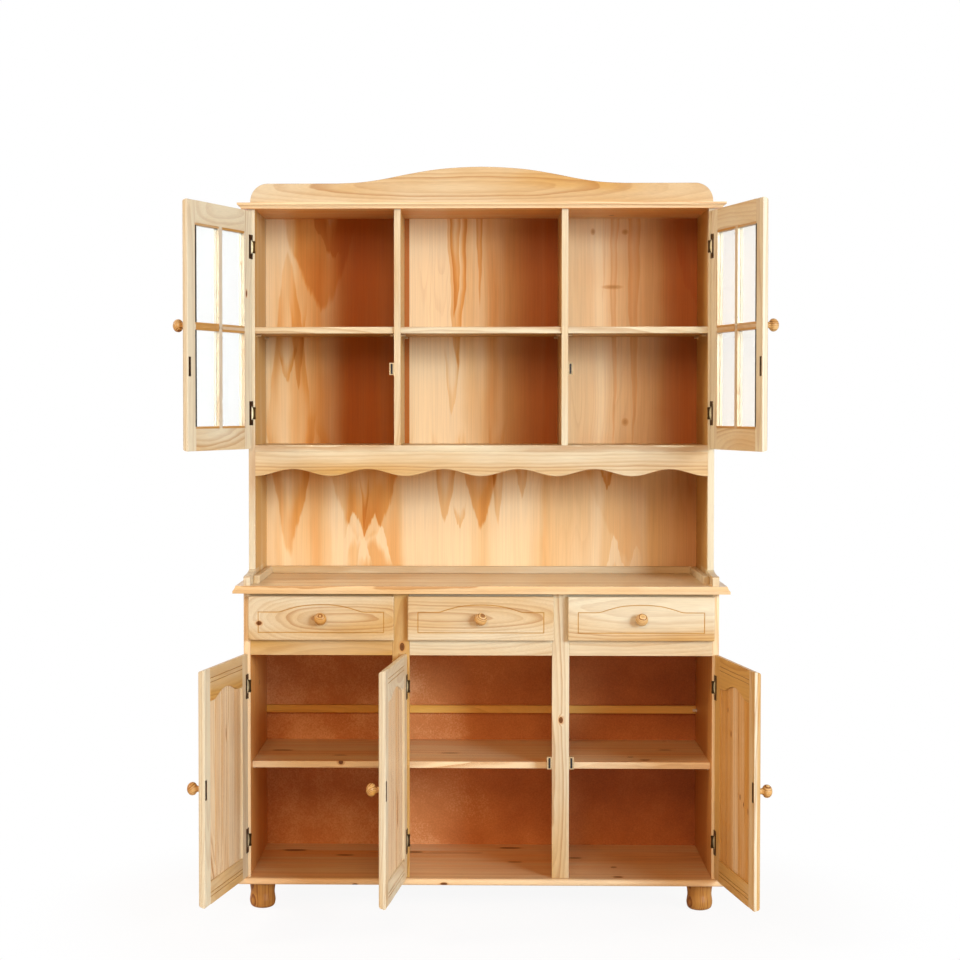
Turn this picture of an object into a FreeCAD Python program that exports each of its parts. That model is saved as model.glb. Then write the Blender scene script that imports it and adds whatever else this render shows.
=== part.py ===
import FreeCAD, Part
import math
import os
from FreeCAD import Vector

# A pine display cabinet in two halves: a base cupboard with three drawers over three
# doors, and a hutch with two glazed doors and an open middle bay. Sizes are in mm.
# The pieces are drawn in the cabinet's own place: X runs to the right from its middle,
# Y runs back from the base's front frame and Z up from the floor. Export then moves them
# so that the origin is the middle of the floor space that the open cabinet takes.
middle_x = 17.0
front_y = -31.5

# Boards of the whole cabinet.
board = 18.0
carcass_width = 1280.0
base_depth = 460.0
back_thickness = 4.0
back_rebate = 7.0

# Base cupboard.
foot_height = 72.0
foot_radius = 35.0
foot_inset_side = 46.0
foot_inset_front = 40.0
foot_inset_back = 60.0
frame_width = 46.0
cupboard_opening_height = 603.0
drawer_opening_height = 110.0
top_rail_height = 12.0
nose_overhang = 17.5
nose_radius = 8.0
worktop_thickness = 20.0
worktop_side_overhang = 27.5
worktop_front_overhang = 26.0
worktop_edge_inset = 7.0
lower_shelf_rise = 289.0
lower_shelf_setback = 53.0
batten_rise = 386.0
batten_height = 22.0
batten_thickness = 18.0

# Hutch.
hutch_front = 139.0
hutch_height = 1024.0
hutch_foot_toe = 3.0
hutch_foot_toe_height = 25.0
hutch_foot_sweep_height = 34.0
hutch_foot_round = 6.0
niche_height = 358.0
side_bay_width = 383.0
apron_low_depth = 67.0
apron_high_depth = 48.0
apron_scallops = 6
hutch_shelf_rise = 307.5
hutch_shelf_setback = 8.0
top_board_thickness = 16.0
top_board_side_overhang = 28.0
top_board_front_overhang = 27.0
top_board_edge_inset = 10.0
crest_length = 1268.0
crest_shoulder_height = 54.0
crest_middle_height = 99.0
crest_end_radius = 48.0
back_strip_height = 21.0
back_strip_thickness = 18.0
cleat_height = 21.0
cleat_thickness = 18.0
cleat_front = 75.0

# Pegs that carry the shelves.
peg_radius = 3.5
peg_length = 12.0
peg_flange_radius = 6.0
peg_flange_thickness = 2.0
peg_inset = 45.0
spare_peg_rise = 400.0

# Doors.
door_overlay = 4.4
door_gap = 1.5
door_foot_gap = 3.0
lower_door_head_overlay = 4.0
lower_door_thickness = 18.7
lower_stile_width = 50.0
lower_bottom_rail = 58.0
arch_shoulder_depth = 85.0
arch_middle_depth = 64.0
panel_thickness = 8.0
panel_recess = 5.0
panel_tuck = 8.0
panel_boards = 5
panel_groove_depth = 2.0
rail_line_depth = 1.2
head_line_insets = [25.0, 36.0]
foot_line_insets = [20.0, 30.0]
upper_door_drop = 10.0
upper_door_headroom = 6.0
upper_door_thickness = 18.0
upper_stile_width = 48.0
upper_rail_width = 64.0
bar_width = 20.0
glazing_rebate = 6.0
glass_thickness = 3.0
bead_depth = 8.0
moulding_width = 10.0
moulding_depth = 11.0
moulding_step = 1.5

# How far each door stands open from shut, in degrees.
lower_left_angle = 100.0
lower_middle_angle = 96.0
lower_right_angle = 98.5
upper_left_angle = 109.0
upper_right_angle = 103.5

# Butt hinges: a C-shaped leaf on the door, whose two end knuckles hold the frame leaf's
# middle knuckle between them.
pin_radius = 1.25
pin_clearance = 0.05
pin_overrun = 1.0
barrel_radius = 2.6
barrel_gap = 0.5
barrel_lift = 0.4
leaf_thickness = 0.9
hinge_height = 66.0
end_knuckle = 15.0
knuckle_gap = 1.0
hinge_inset = 98.0
lower_hinge_head_inset = 88.0
frame_flange_depth = 8.0
door_leaf_web = 11.0
leaf_clearance = 2.5
screw_radius = 2.4
screw_height = 0.8

# Magnetic catches and the plates that they hold.
catch_width = 13.0
catch_height = 33.0
catch_depth = 16.0
catch_setback = 0.6
magnet_width = 5.5
magnet_height = 28.0
magnet_depth = 8.0
magnet_proud = 0.4
strike_width = 12.0
strike_height = 51.0
strike_thickness = 0.8
lower_catch_rise = 312.0
lower_strike_drop = 10.0
upper_catch_rise = 210.0

# Knobs.
knob_radius = 17.0
knob_length = 34.0
knob_inset = 24.0
lower_knob_rise = 300.0
upper_knob_rise = 326.0

# Drawers.
drawer_overlay = 4.4
drawer_front_thickness = 18.0
drawer_box_height = 95.0
drawer_box_depth = 410.0
drawer_wall = 12.0
drawer_bottom_thickness = 4.0
drawer_bottom_rise = 8.0
drawer_side_clearance = 2.0
drawer_lift = 0.3
runner_height = 16.0
runner_lap = 9.0
runner_end_gap = 10.0
groove_width = 3.0
groove_depth = 1.5
groove_inset = 26.0
groove_bottom_inset = 20.0
groove_shoulder_inset = 41.0
groove_arch_inset = 21.0
groove_shoulder_length = 48.0
drawer_edge_radius = 4.0

# One value by which every cutting body runs past what it cuts.
overrun = 1.0

# Heights and widths that follow.
base_floor_top = foot_height + board
drawer_rail_bottom = base_floor_top + cupboard_opening_height
drawer_rail_top = drawer_rail_bottom + frame_width
drawer_opening_top = drawer_rail_top + drawer_opening_height
worktop_bottom = drawer_opening_top + top_rail_height
worktop_top = worktop_bottom + worktop_thickness
hutch_board_bottom = worktop_top + niche_height
hutch_board_top = hutch_board_bottom + board
hutch_top = worktop_top + hutch_height
top_board_top = hutch_top + top_board_thickness
half_width = carcass_width / 2
inner_half = half_width - board
back_front = base_depth - back_thickness
opening_width = (carcass_width - 2 * board - 2 * frame_width) / 3
bay_pitch = opening_width + frame_width
divider_x = bay_pitch / 2
hutch_divider_x = inner_half - side_bay_width - board / 2
pin_out = door_overlay + barrel_gap + barrel_radius
pin_forward = barrel_radius + barrel_lift
pin_to_edge = barrel_radius + barrel_gap
door_back = pin_forward - door_gap
lower_door_width = opening_width + 2 * door_overlay
lower_door_bottom = base_floor_top + door_foot_gap
lower_door_height = drawer_rail_bottom + lower_door_head_overlay - lower_door_bottom
upper_door_width = side_bay_width + 2 * door_overlay
upper_door_bottom = hutch_board_top - upper_door_drop
upper_door_height = hutch_top - upper_door_headroom - upper_door_bottom
drawer_front_width = opening_width + 2 * drawer_overlay
drawer_front_height = drawer_opening_height + 2 * drawer_overlay
drawer_front_bottom = drawer_rail_top - drawer_overlay

UP = Vector(0, 0, 1)
ORIGIN = Vector(0, 0, 0)


def block(x0, x1, y0, y1, z0, z1):
    """A straight board between two corners."""
    return Part.makeBox(x1 - x0, y1 - y0, z1 - z0, Vector(x0, y0, z0))


def prism(edges, travel):
    """The solid that a closed outline sweeps along a straight travel."""
    return Part.Face(Part.Wire(edges)).extrude(travel)


def polygon(points):
    """Straight edges round a list of points, closed."""
    return [Part.LineSegment(a, b).toShape() for a, b in zip(points, points[1:] + points[:1])]


def curve(points):
    """One smooth edge through a list of points."""
    spline = Part.BSplineCurve()
    spline.interpolate(points)
    return spline.toShape()


def mirrored(shape):
    """The same piece on the other side of the cabinet."""
    return shape.mirror(ORIGIN, Vector(1, 0, 0))


def moved(shape, x, y, z):
    copy = shape.copy()
    copy.translate(Vector(x, y, z))
    return copy


def rod(radius, x, y, z0, z1):
    return Part.makeCylinder(radius, z1 - z0, Vector(x, y, z0), UP)


nodes = {}


def add(name, *solids):
    """Keep the solids of one named piece."""
    nodes.setdefault(name, []).extend(solids)


# Base: sides, dividers and the front frame. Each side has a rebate for the back.
side = block(-half_width, -inner_half, 0, base_depth, base_floor_top, worktop_bottom)
rebate = block(-inner_half - back_rebate, -inner_half + overrun, back_front, base_depth + overrun,
               base_floor_top - overrun, worktop_bottom + overrun)
base_side = side.cut(rebate)
add("base_side_left", base_side)
add("base_side_right", mirrored(base_side))
base_divider = block(-divider_x - board / 2, -divider_x + board / 2, board, back_front,
                     base_floor_top, worktop_bottom)
add("base_dividers", base_divider, mirrored(base_divider))
stile = block(-divider_x - frame_width / 2, -divider_x + frame_width / 2, 0, board,
              base_floor_top, worktop_bottom)
add("front_stiles", stile, mirrored(stile))
bay_centres = [-bay_pitch, 0, bay_pitch]
for x in bay_centres:
    left = x - opening_width / 2
    right = x + opening_width / 2
    add("drawer_rails",
        block(left, right, 0, board, drawer_rail_bottom, drawer_rail_top),
        block(left, right, 0, board, drawer_opening_top, worktop_bottom))
add("base_back_panel",
    block(-inner_half - back_rebate, inner_half + back_rebate, back_front, base_depth,
          base_floor_top, worktop_bottom))

# The bottom board stands forward and out of the sides, and its edge is rounded.
bottom = block(-half_width - nose_overhang, half_width + nose_overhang, -nose_overhang, base_depth,
               foot_height, base_floor_top)


def front_corners(solid, y):
    """The upright edges of a board's two front corners."""
    return [e for e in solid.Edges
            if all(abs(v.Y - y) < overrun for v in e.Vertexes) and e.BoundBox.ZLength > overrun]


def rim_edges(solid, z, y_back):
    """The edges round a board's front and sides at one height, without the back one."""
    return [e for e in solid.Edges
            if e.BoundBox.ZLength < overrun / 2 and abs(e.BoundBox.ZMin - z) < overrun / 2
            and e.BoundBox.YMin < y_back - overrun]


bottom = bottom.makeFillet(nose_radius, front_corners(bottom, -nose_overhang))
bottom = bottom.makeFillet(nose_radius, rim_edges(bottom, base_floor_top, base_depth)
                           + rim_edges(bottom, foot_height, base_depth))
add("bottom_board", bottom)


def moulded_board(half_length, front, back, z0, z1, inset):
    """A board whose front and side edges fall back by the inset in a hollow curve.

    The section steps in at the narrow face, runs down a quarter hollow and ends in a
    square lip at the wide one. z0 is the wide face and z1 the narrow one.
    """
    rise = z1 - z0
    rings = []
    for out_share, height_share in edge_shares:
        d = inset * (1 - out_share)
        z = z0 + rise * height_share
        rings.append(Part.makePolygon([
            Vector(-half_length + d, back, z), Vector(-half_length + d, front + d, z),
            Vector(half_length - d, front + d, z), Vector(half_length - d, back, z),
            Vector(-half_length + d, back, z)]))
    return Part.makeLoft(rings, True, True)


# How far out the moulded edge stands at each height of the board, from the wide face.
edge_shares = [(1.0, 0.0), (1.0, 0.35), (0.72, 0.45), (0.3, 0.66), (0.1, 0.86), (0.0, 1.0)]
add("worktop", moulded_board(half_width + worktop_side_overhang, -worktop_front_overhang, base_depth,
                             worktop_bottom, worktop_top, worktop_edge_inset))

# Turned feet. The outline is (share of the foot's radius, share of its height).
foot_shares = [(0.56, 0.0), (0.80, 0.045), (0.94, 0.13), (1.0, 0.29), (0.965, 0.45), (0.93, 0.59),
               (0.955, 0.74), (0.99, 0.88), (0.99, 1.0)]
foot_side = curve([Vector(r * foot_radius, 0, z * foot_height) for r, z in foot_shares])
foot_outline = Part.Wire([
    Part.LineSegment(ORIGIN, Vector(foot_shares[0][0] * foot_radius, 0, 0)).toShape(),
    foot_side,
    Part.LineSegment(Vector(foot_shares[-1][0] * foot_radius, 0, foot_height),
                     Vector(0, 0, foot_height)).toShape(),
    Part.LineSegment(Vector(0, 0, foot_height), ORIGIN).toShape()])
foot = Part.Face(foot_outline).revolve(ORIGIN, UP, 360)
foot_x = half_width - foot_inset_side
for x in (-foot_x, foot_x):
    for y in (foot_inset_front, base_depth - foot_inset_back):
        add("bun_feet", moved(foot, x, y, 0))

# Base shelves, and the batten that stiffens the back above them.
lower_shelf_bottom = base_floor_top + lower_shelf_rise
divider_inner = divider_x - board / 2
divider_outer = divider_x + board / 2
lower_shelf_spans = [(-inner_half, -divider_outer), (-divider_inner, divider_inner),
                     (divider_outer, inner_half)]


def peg(x, y, z, facing):
    """A shelf peg: a flange on the wall at x and a pin that the shelf lies on."""
    across = Vector(facing, 0, 0)
    flange = Part.makeCylinder(peg_flange_radius, peg_flange_thickness, Vector(x, y, z), across)
    pin = Part.makeCylinder(peg_radius, peg_length, Vector(x, y, z), across)
    flat = block(x - peg_length, x + peg_length, y - peg_flange_radius, y + peg_flange_radius,
                 z + peg_radius, z + peg_flange_radius + overrun)
    return flange.fuse(pin).cut(flat).removeSplitter()


def shelf_on_pegs(node, left, right, front, bottom_z):
    """A shelf between two walls, with four pegs under it."""
    add(node, block(left, right, front, back_front, bottom_z, bottom_z + board))
    for y in (front + peg_inset, back_front - peg_inset):
        add("shelf_pegs", peg(left, y, bottom_z - peg_radius, 1), peg(right, y, bottom_z - peg_radius, -1))


for left, right in lower_shelf_spans:
    shelf_on_pegs("lower_shelves", left, right, lower_shelf_setback, lower_shelf_bottom)
    add("back_battens", block(left, right, back_front - batten_thickness, back_front,
                              base_floor_top + batten_rise, base_floor_top + batten_rise + batten_height))

# One spare peg stays in a higher hole of the right side.
add("shelf_pegs", peg(inner_half, back_front - peg_inset, base_floor_top + spare_peg_rise, -1))

# Runners under the drawers' sides, fixed to the walls of each bay.
for (left, right), x in zip(lower_shelf_spans, bay_centres):
    run_back = back_front - runner_end_gap
    left_end = x - opening_width / 2 + runner_lap
    right_end = x + opening_width / 2 - runner_lap
    add("drawer_runners",
        block(left, left_end, board, run_back, drawer_rail_top - runner_height, drawer_rail_top),
        block(right_end, right, board, run_back, drawer_rail_top - runner_height, drawer_rail_top))

# Hutch sides. Each runs forward over the worktop in a low foot with a hollow sweep.
toe_y = -hutch_foot_toe
sweep_run = hutch_front - toe_y
# The sweep from the toe's top to the front edge: (share of its run, share of its rise).
sweep_shares = [(0.0, 0.0), (0.30, 0.03), (0.58, 0.16), (0.80, 0.42), (0.94, 0.74), (1.0, 1.0)]
sweep_rise = hutch_foot_sweep_height - hutch_foot_toe_height
toe_top = worktop_top + hutch_foot_toe_height
round_corner = math.cos(math.pi / 4) * hutch_foot_round
sweep = curve([Vector(-half_width, toe_y + hutch_foot_round + a * (sweep_run - hutch_foot_round),
                      toe_top + b * sweep_rise) for a, b in sweep_shares])
toe_round = Part.Arc(
    Vector(-half_width, toe_y, toe_top - hutch_foot_round),
    Vector(-half_width, toe_y + hutch_foot_round - round_corner, toe_top - hutch_foot_round + round_corner),
    Vector(-half_width, toe_y + hutch_foot_round, toe_top)).toShape()


def line(*ends):
    return Part.LineSegment(*[Vector(-half_width, y, z) for y, z in ends]).toShape()


hutch_side = prism([
    line((base_depth, worktop_top), (toe_y, worktop_top)),
    line((toe_y, worktop_top), (toe_y, toe_top - hutch_foot_round)),
    toe_round,
    sweep,
    line((hutch_front, toe_top + sweep_rise), (hutch_front, hutch_top)),
    line((hutch_front, hutch_top), (base_depth, hutch_top)),
    line((base_depth, hutch_top), (base_depth, worktop_top))], Vector(board, 0, 0))
hutch_side = hutch_side.cut(block(-inner_half - back_rebate, -inner_half + overrun, back_front,
                                  base_depth + overrun, worktop_top - overrun, hutch_top + overrun))
add("hutch_side_left", hutch_side)
add("hutch_side_right", mirrored(hutch_side))
add("hutch_bottom_board", block(-inner_half, inner_half, hutch_front, back_front,
                                hutch_board_bottom, hutch_board_top))
hutch_divider = block(-hutch_divider_x - board / 2, -hutch_divider_x + board / 2, hutch_front, back_front,
                      hutch_board_top, hutch_top)
add("hutch_dividers", hutch_divider, mirrored(hutch_divider))
add("hutch_back_panel", block(-inner_half - back_rebate, inner_half + back_rebate, back_front, base_depth,
                              worktop_top, hutch_top))

hutch_shelf_bottom = hutch_board_top + hutch_shelf_rise
hutch_divider_inner = hutch_divider_x - board / 2
hutch_divider_outer = hutch_divider_x + board / 2
hutch_bays = [(-inner_half, -hutch_divider_outer), (-hutch_divider_inner, hutch_divider_inner),
              (hutch_divider_outer, inner_half)]
for left, right in hutch_bays:
    shelf_on_pegs("hutch_shelves", left, right, hutch_front + hutch_shelf_setback, hutch_shelf_bottom)

# The apron hangs under the bottom board, and its lower edge is a row of even waves.
wave_points = 8
wave_steps = apron_scallops * wave_points
wave_middle = hutch_board_bottom - (apron_low_depth + apron_high_depth) / 2
wave_swing = (apron_low_depth - apron_high_depth) / 2
wave = curve([Vector(inner_half - i / wave_steps * 2 * inner_half, hutch_front,
                     wave_middle - wave_swing * math.cos(2 * math.pi * i / wave_points))
              for i in range(wave_steps + 1)])
apron_ends = [Vector(-inner_half, hutch_front, hutch_board_bottom - apron_low_depth),
              Vector(-inner_half, hutch_front, hutch_board_bottom),
              Vector(inner_half, hutch_front, hutch_board_bottom),
              Vector(inner_half, hutch_front, hutch_board_bottom - apron_low_depth)]
apron_edges = [Part.LineSegment(a, b).toShape() for a, b in zip(apron_ends, apron_ends[1:])]
add("apron", prism(apron_edges + [wave], Vector(0, board, 0)))

# Cleats that hold the hutch to the worktop, and the strip along the back of the niche.
strip_front = back_front - back_strip_thickness
add("hutch_cleats",
    block(-inner_half, inner_half, strip_front, back_front, worktop_top, worktop_top + back_strip_height))
cleat = block(-inner_half, -inner_half + cleat_thickness, cleat_front, strip_front,
              worktop_top, worktop_top + cleat_height)
add("hutch_cleats", cleat, mirrored(cleat))

# Top board: its moulded edge is widest at the top face.
top_board = moulded_board(half_width + top_board_side_overhang, hutch_front - top_board_front_overhang,
                          base_depth, top_board_top, hutch_top, top_board_edge_inset)
add("top_board", top_board)

# Crest: rounded ends, level shoulders and a long hump in the middle.
half_crest = crest_length / 2
crest_rise = crest_middle_height - crest_shoulder_height
# The hump from its middle out: (share of the half length, share of the hump's rise).
hump_shares = [(0.0, 1.0), (0.09, 0.96), (0.2, 0.83), (0.32, 0.55), (0.42, 0.27), (0.52, 0.07), (0.62, 0.0)]
hump = [Vector(a * half_crest, hutch_front, top_board_top + crest_shoulder_height + b * crest_rise)
        for a, b in hump_shares]
hump_curve = curve([Vector(-p.x, p.y, p.z) for p in reversed(hump)] + hump[1:])
crest_foot = top_board_top
shoulder = top_board_top + crest_shoulder_height
end_round = math.cos(math.pi / 4) * crest_end_radius


def crest_point(x, z):
    return Vector(x, hutch_front, z)


left_foot = crest_point(-half_crest, crest_foot)
crest_edges = [Part.LineSegment(left_foot, crest_point(half_crest, crest_foot)).toShape()]
round_start = half_crest - crest_end_radius
for s in (1, -1):
    start_round = crest_point(s * half_crest, shoulder - crest_end_radius)
    top_round = crest_point(s * round_start, shoulder)
    on_round = crest_point(s * (round_start + end_round), shoulder - crest_end_radius + end_round)
    crest_edges.append(Part.LineSegment(crest_point(s * half_crest, crest_foot), start_round).toShape())
    crest_edges.append(Part.Arc(start_round, on_round, top_round).toShape())
    crest_edges.append(Part.LineSegment(top_round, crest_point(s * hump[-1].x, shoulder)).toShape())
crest_edges.append(hump_curve)
add("crest_board", Part.Face(Part.Wire(Part.__sortEdges__(crest_edges))).extrude(Vector(0, board, 0)))


# Doors and drawers. A door is drawn shut and hung on its left, with its hinge pin on the
# Z axis: X runs from the pin across the door and the door's back is at door_back.
def moulded_blank(width, height, thickness, x0, z0, back):
    """A door's outer solid: full size at the back, with a rounded step round the front."""
    front = back - thickness
    plate = block(x0, x0 + width, front + moulding_depth, back, z0, z0 + height)
    field = block(x0 + moulding_step, x0 + width - moulding_step, front, front + moulding_depth,
                  z0 + moulding_step, z0 + height - moulding_step)
    rim = [e for e in field.Edges if abs(e.BoundBox.YMax - front) < overrun / 2]
    round_radius = moulding_width - moulding_step
    return plate.fuse(field.makeFillet(round_radius, rim))


def knob(x, y, z):
    """A turned knob that stands forward of a face at y."""
    side_line = curve([Vector(r * knob_radius, -d * knob_length, 0) for r, d in knob_shares])
    base_line = Part.LineSegment(ORIGIN, Vector(knob_shares[0][0] * knob_radius, 0, 0)).toShape()
    axis_line = Part.LineSegment(Vector(0, -knob_length, 0), ORIGIN).toShape()
    turned = Part.Face(Part.Wire([base_line, side_line, axis_line])).revolve(ORIGIN, Vector(0, 1, 0), 360)
    return moved(turned, x, y, z)


# The knob's outline: (share of its radius, share of its length) from the face out.
knob_shares = [(0.52, 0.0), (0.45, 0.16), (0.56, 0.30), (0.88, 0.43), (1.0, 0.60), (0.90, 0.80),
               (0.58, 0.95), (0.28, 0.993), (0.0, 1.0)]


def swing(shape, pin_x, frame_y, hand, angle):
    """Hang a piece of a door on its pin and turn it open; hand is 1 on the left, -1 on the right."""
    placed = shape.copy()
    placed.rotate(ORIGIN, UP, -angle)
    if hand < 0:
        placed = mirrored(placed)
    return moved(placed, pin_x, frame_y - pin_forward, 0)


def knuckle(z0, z1):
    """One barrel of a hinge, bored for its pin."""
    bore = rod(pin_radius + pin_clearance, 0, 0, z0 - overrun, z1 + overrun)
    return rod(barrel_radius, 0, 0, z0, z1), bore


def frame_leaf(z):
    """The hinge half on the frame: a middle knuckle, a lip on the frame and a flange inside it."""
    z0 = z - hinge_height / 2 + end_knuckle + knuckle_gap
    z1 = z + hinge_height / 2 - end_knuckle - knuckle_gap
    barrel, bore = knuckle(z0, z1)
    lip = block(0, pin_out + leaf_thickness, pin_forward - leaf_thickness, pin_forward, z0, z1)
    flange = block(pin_out, pin_out + leaf_thickness, pin_forward - leaf_thickness,
                   pin_forward + frame_flange_depth, z0, z1)
    leaf = barrel.fuse([lip, flange])
    for z_screw in (z0 + frame_flange_depth / 2, z1 - frame_flange_depth / 2):
        leaf = leaf.fuse(Part.makeCylinder(screw_radius, screw_height + leaf_thickness,
                                           Vector(pin_out, pin_forward + frame_flange_depth / 2, z_screw),
                                           Vector(1, 0, 0)))
    return leaf.cut(bore)


def door_leaf(z):
    """The hinge half on the door: a C of two end knuckles and a web behind them."""
    z0 = z - hinge_height / 2
    z1 = z + hinge_height / 2
    web_start = pin_out + leaf_thickness + leaf_clearance
    web = block(web_start, web_start + door_leaf_web, door_back, door_back + leaf_thickness, z0, z1)
    solid = web
    bores = []
    for a, b in ((z0, z0 + end_knuckle), (z1 - end_knuckle, z1)):
        barrel, bore = knuckle(a, b)
        arm = block(0, web_start, door_back, door_back + leaf_thickness, a, b)
        screw = Part.makeCylinder(screw_radius, screw_height, Vector(
            web_start + door_leaf_web / 2, door_back + leaf_thickness, (a + b) / 2), Vector(0, 1, 0))
        solid = solid.fuse([barrel, arm, screw])
        bores.append(bore)
    return solid.cut(bores[0]).cut(bores[1])


def strike(x_opening_edge, z):
    """The steel plate on the door's back that meets the catch, held by two screws."""
    x1 = x_opening_edge - (catch_width - strike_width) / 2
    x0 = x1 - strike_width
    plate = block(x0, x1, door_back, door_back + strike_thickness,
                  z - strike_height / 2, z + strike_height / 2)
    for side_sign in (-1, 1):
        screw_z = z + side_sign * (strike_height / 2 - strike_width / 3)
        plate = plate.fuse(Part.makeCylinder(screw_radius, strike_thickness + screw_height / 4,
                                             Vector((x0 + x1) / 2, door_back, screw_z), Vector(0, 1, 0)))
    return plate


def catch(x_edge, frame_y, z, facing):
    """A catch on the wall at x_edge: a housing with a magnet strip let into its front."""
    x0, x1 = sorted((x_edge, x_edge + facing * catch_width))
    middle = (x0 + x1) / 2
    housing = block(x0, x1, frame_y + catch_setback, frame_y + catch_setback + catch_depth,
                    z - catch_height / 2, z + catch_height / 2)
    front = frame_y + catch_setback - magnet_proud
    magnet = block(middle - magnet_width / 2, middle + magnet_width / 2, front, front + magnet_depth,
                   z - magnet_height / 2, z + magnet_height / 2)
    add("catch_housings", housing.cut(magnet))
    add("catch_magnets", magnet)


def hang_hardware(name, pin_x, frame_y, hand, angle, hinge_heights, catch_z, strike_z, width):
    """Hinges, pins, catch and strike plate of one door."""
    for z in hinge_heights:
        add("frame_hinge_leaves", swing(frame_leaf(z), pin_x, frame_y, hand, 0))
        pin = rod(pin_radius, 0, 0, z - hinge_height / 2 - pin_overrun, z + hinge_height / 2 + pin_overrun)
        add("hinge_pins", swing(pin, pin_x, frame_y, hand, 0))
        add(name + "_hardware", swing(door_leaf(z), pin_x, frame_y, hand, angle))
    opening_edge = pin_to_edge + width - door_overlay
    add(name + "_hardware", swing(strike(opening_edge, strike_z), pin_x, frame_y, hand, angle))
    catch(pin_x + hand * opening_edge, frame_y, catch_z, -hand)


def lower_door(name, pin_x, hand, angle):
    """A framed door: two stiles, a bottom rail, an arched top rail and a boarded panel."""
    x0 = pin_to_edge
    x1 = x0 + lower_door_width
    z0 = lower_door_bottom
    z1 = z0 + lower_door_height
    front = door_back - lower_door_thickness
    left = x0 + lower_stile_width
    right = x1 - lower_stile_width
    blank = moulded_blank(lower_door_width, lower_door_height, lower_door_thickness, x0, z0, door_back)
    panel_back = door_back - panel_recess
    panel = block(left - panel_tuck, right + panel_tuck, panel_back - panel_thickness, panel_back,
                  z0 + lower_bottom_rail - panel_tuck, z1 - arch_middle_depth + panel_tuck)
    arch = curve([Vector(left + a * (right - left), front - overrun,
                         z1 - arch_shoulder_depth + b * (arch_shoulder_depth - arch_middle_depth))
                  for a, b in arch_shares])
    arch_foot = z1 - arch_shoulder_depth
    arch_cut = front - overrun
    head = [Vector(right, arch_cut, arch_foot), Vector(right, arch_cut, z1 + overrun),
            Vector(left, arch_cut, z1 + overrun), Vector(left, arch_cut, arch_foot)]
    head_edges = [Part.LineSegment(a, b).toShape() for a, b in zip(head, head[1:])]
    depth = Vector(0, lower_door_thickness + 2 * overrun, 0)
    y0 = front - overrun
    y1 = door_back + overrun
    members = [
        block(x0 - overrun, left, y0, y1, z0 - overrun, z1 + overrun),
        block(right, x1 + overrun, y0, y1, z0 - overrun, z1 + overrun),
        block(left, right, y0, y1, z0 - overrun, z0 + lower_bottom_rail),
        prism([arch] + head_edges, depth)]
    lines = []
    for z in [z1 - inset for inset in head_line_insets] + [z0 + inset for inset in foot_line_insets]:
        vee = [Vector(left, door_back, z - rail_line_depth), Vector(left, door_back - rail_line_depth, z),
               Vector(left, door_back, z + rail_line_depth)]
        lines.append(prism(polygon(vee), Vector(right - left, 0, 0)))
    for member in members:
        add(name + "_frame", swing(blank.common(member).cut([panel] + lines), pin_x, 0, hand, angle))
    pitch = (right - left) / panel_boards
    for i in range(1, panel_boards):
        x = left + i * pitch
        for face, inward in ((panel_back, -1), (panel_back - panel_thickness, 1)):
            vee = [Vector(x - panel_groove_depth, face, z0),
                   Vector(x, face + inward * panel_groove_depth, z0),
                   Vector(x + panel_groove_depth, face, z0)]
            panel = panel.cut(prism(polygon(vee), Vector(0, 0, lower_door_height)))
    add(name + "_panel", swing(panel, pin_x, 0, hand, angle))
    add(name + "_knob", swing(knob(x1 - knob_inset, front, z0 + lower_knob_rise), pin_x, 0, hand, angle))
    catch_z = base_floor_top + lower_catch_rise
    hang_hardware(name, pin_x, 0, hand, angle, (z0 + hinge_inset, z1 - lower_hinge_head_inset),
                  catch_z, catch_z - lower_strike_drop, lower_door_width)


# The lower edge of the top rail: (share of the span, share of the arch's rise).
arch_shares = [(0.0, 0.0), (0.10, 0.0), (0.18, 0.12), (0.28, 0.52), (0.38, 0.86), (0.5, 1.0), (0.62, 0.86),
               (0.72, 0.52), (0.82, 0.12), (0.90, 0.0), (1.0, 0.0)]

lower_left_pin = -inner_half - pin_out
lower_middle_pin = -opening_width / 2 - pin_out
lower_right_pin = inner_half + pin_out
lower_door("door_lower_left", lower_left_pin, 1, lower_left_angle)
lower_door("door_lower_middle", lower_middle_pin, 1, lower_middle_angle)
lower_door("door_lower_right", lower_right_pin, -1, lower_right_angle)


def glazed_light(left, right, z0, z1):
    """One pane and the four beads that hold it in the rebate round an opening."""
    glass_front = door_back - bead_depth - glass_thickness
    pane = block(left - glazing_rebate, right + glazing_rebate, glass_front, glass_front + glass_thickness,
                 z0 - glazing_rebate, z1 + glazing_rebate)
    beads = []
    bead_front = glass_front + glass_thickness
    bead_back = door_back
    outer = glazing_rebate
    beads.append(block(left - outer, left, bead_front, bead_back, z0 - outer, z1 + outer))
    beads.append(block(right, right + outer, bead_front, bead_back, z0 - outer, z1 + outer))
    beads.append(block(left, right, bead_front, bead_back, z0 - outer, z0))
    beads.append(block(left, right, bead_front, bead_back, z1, z1 + outer))
    return pane, beads


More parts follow.
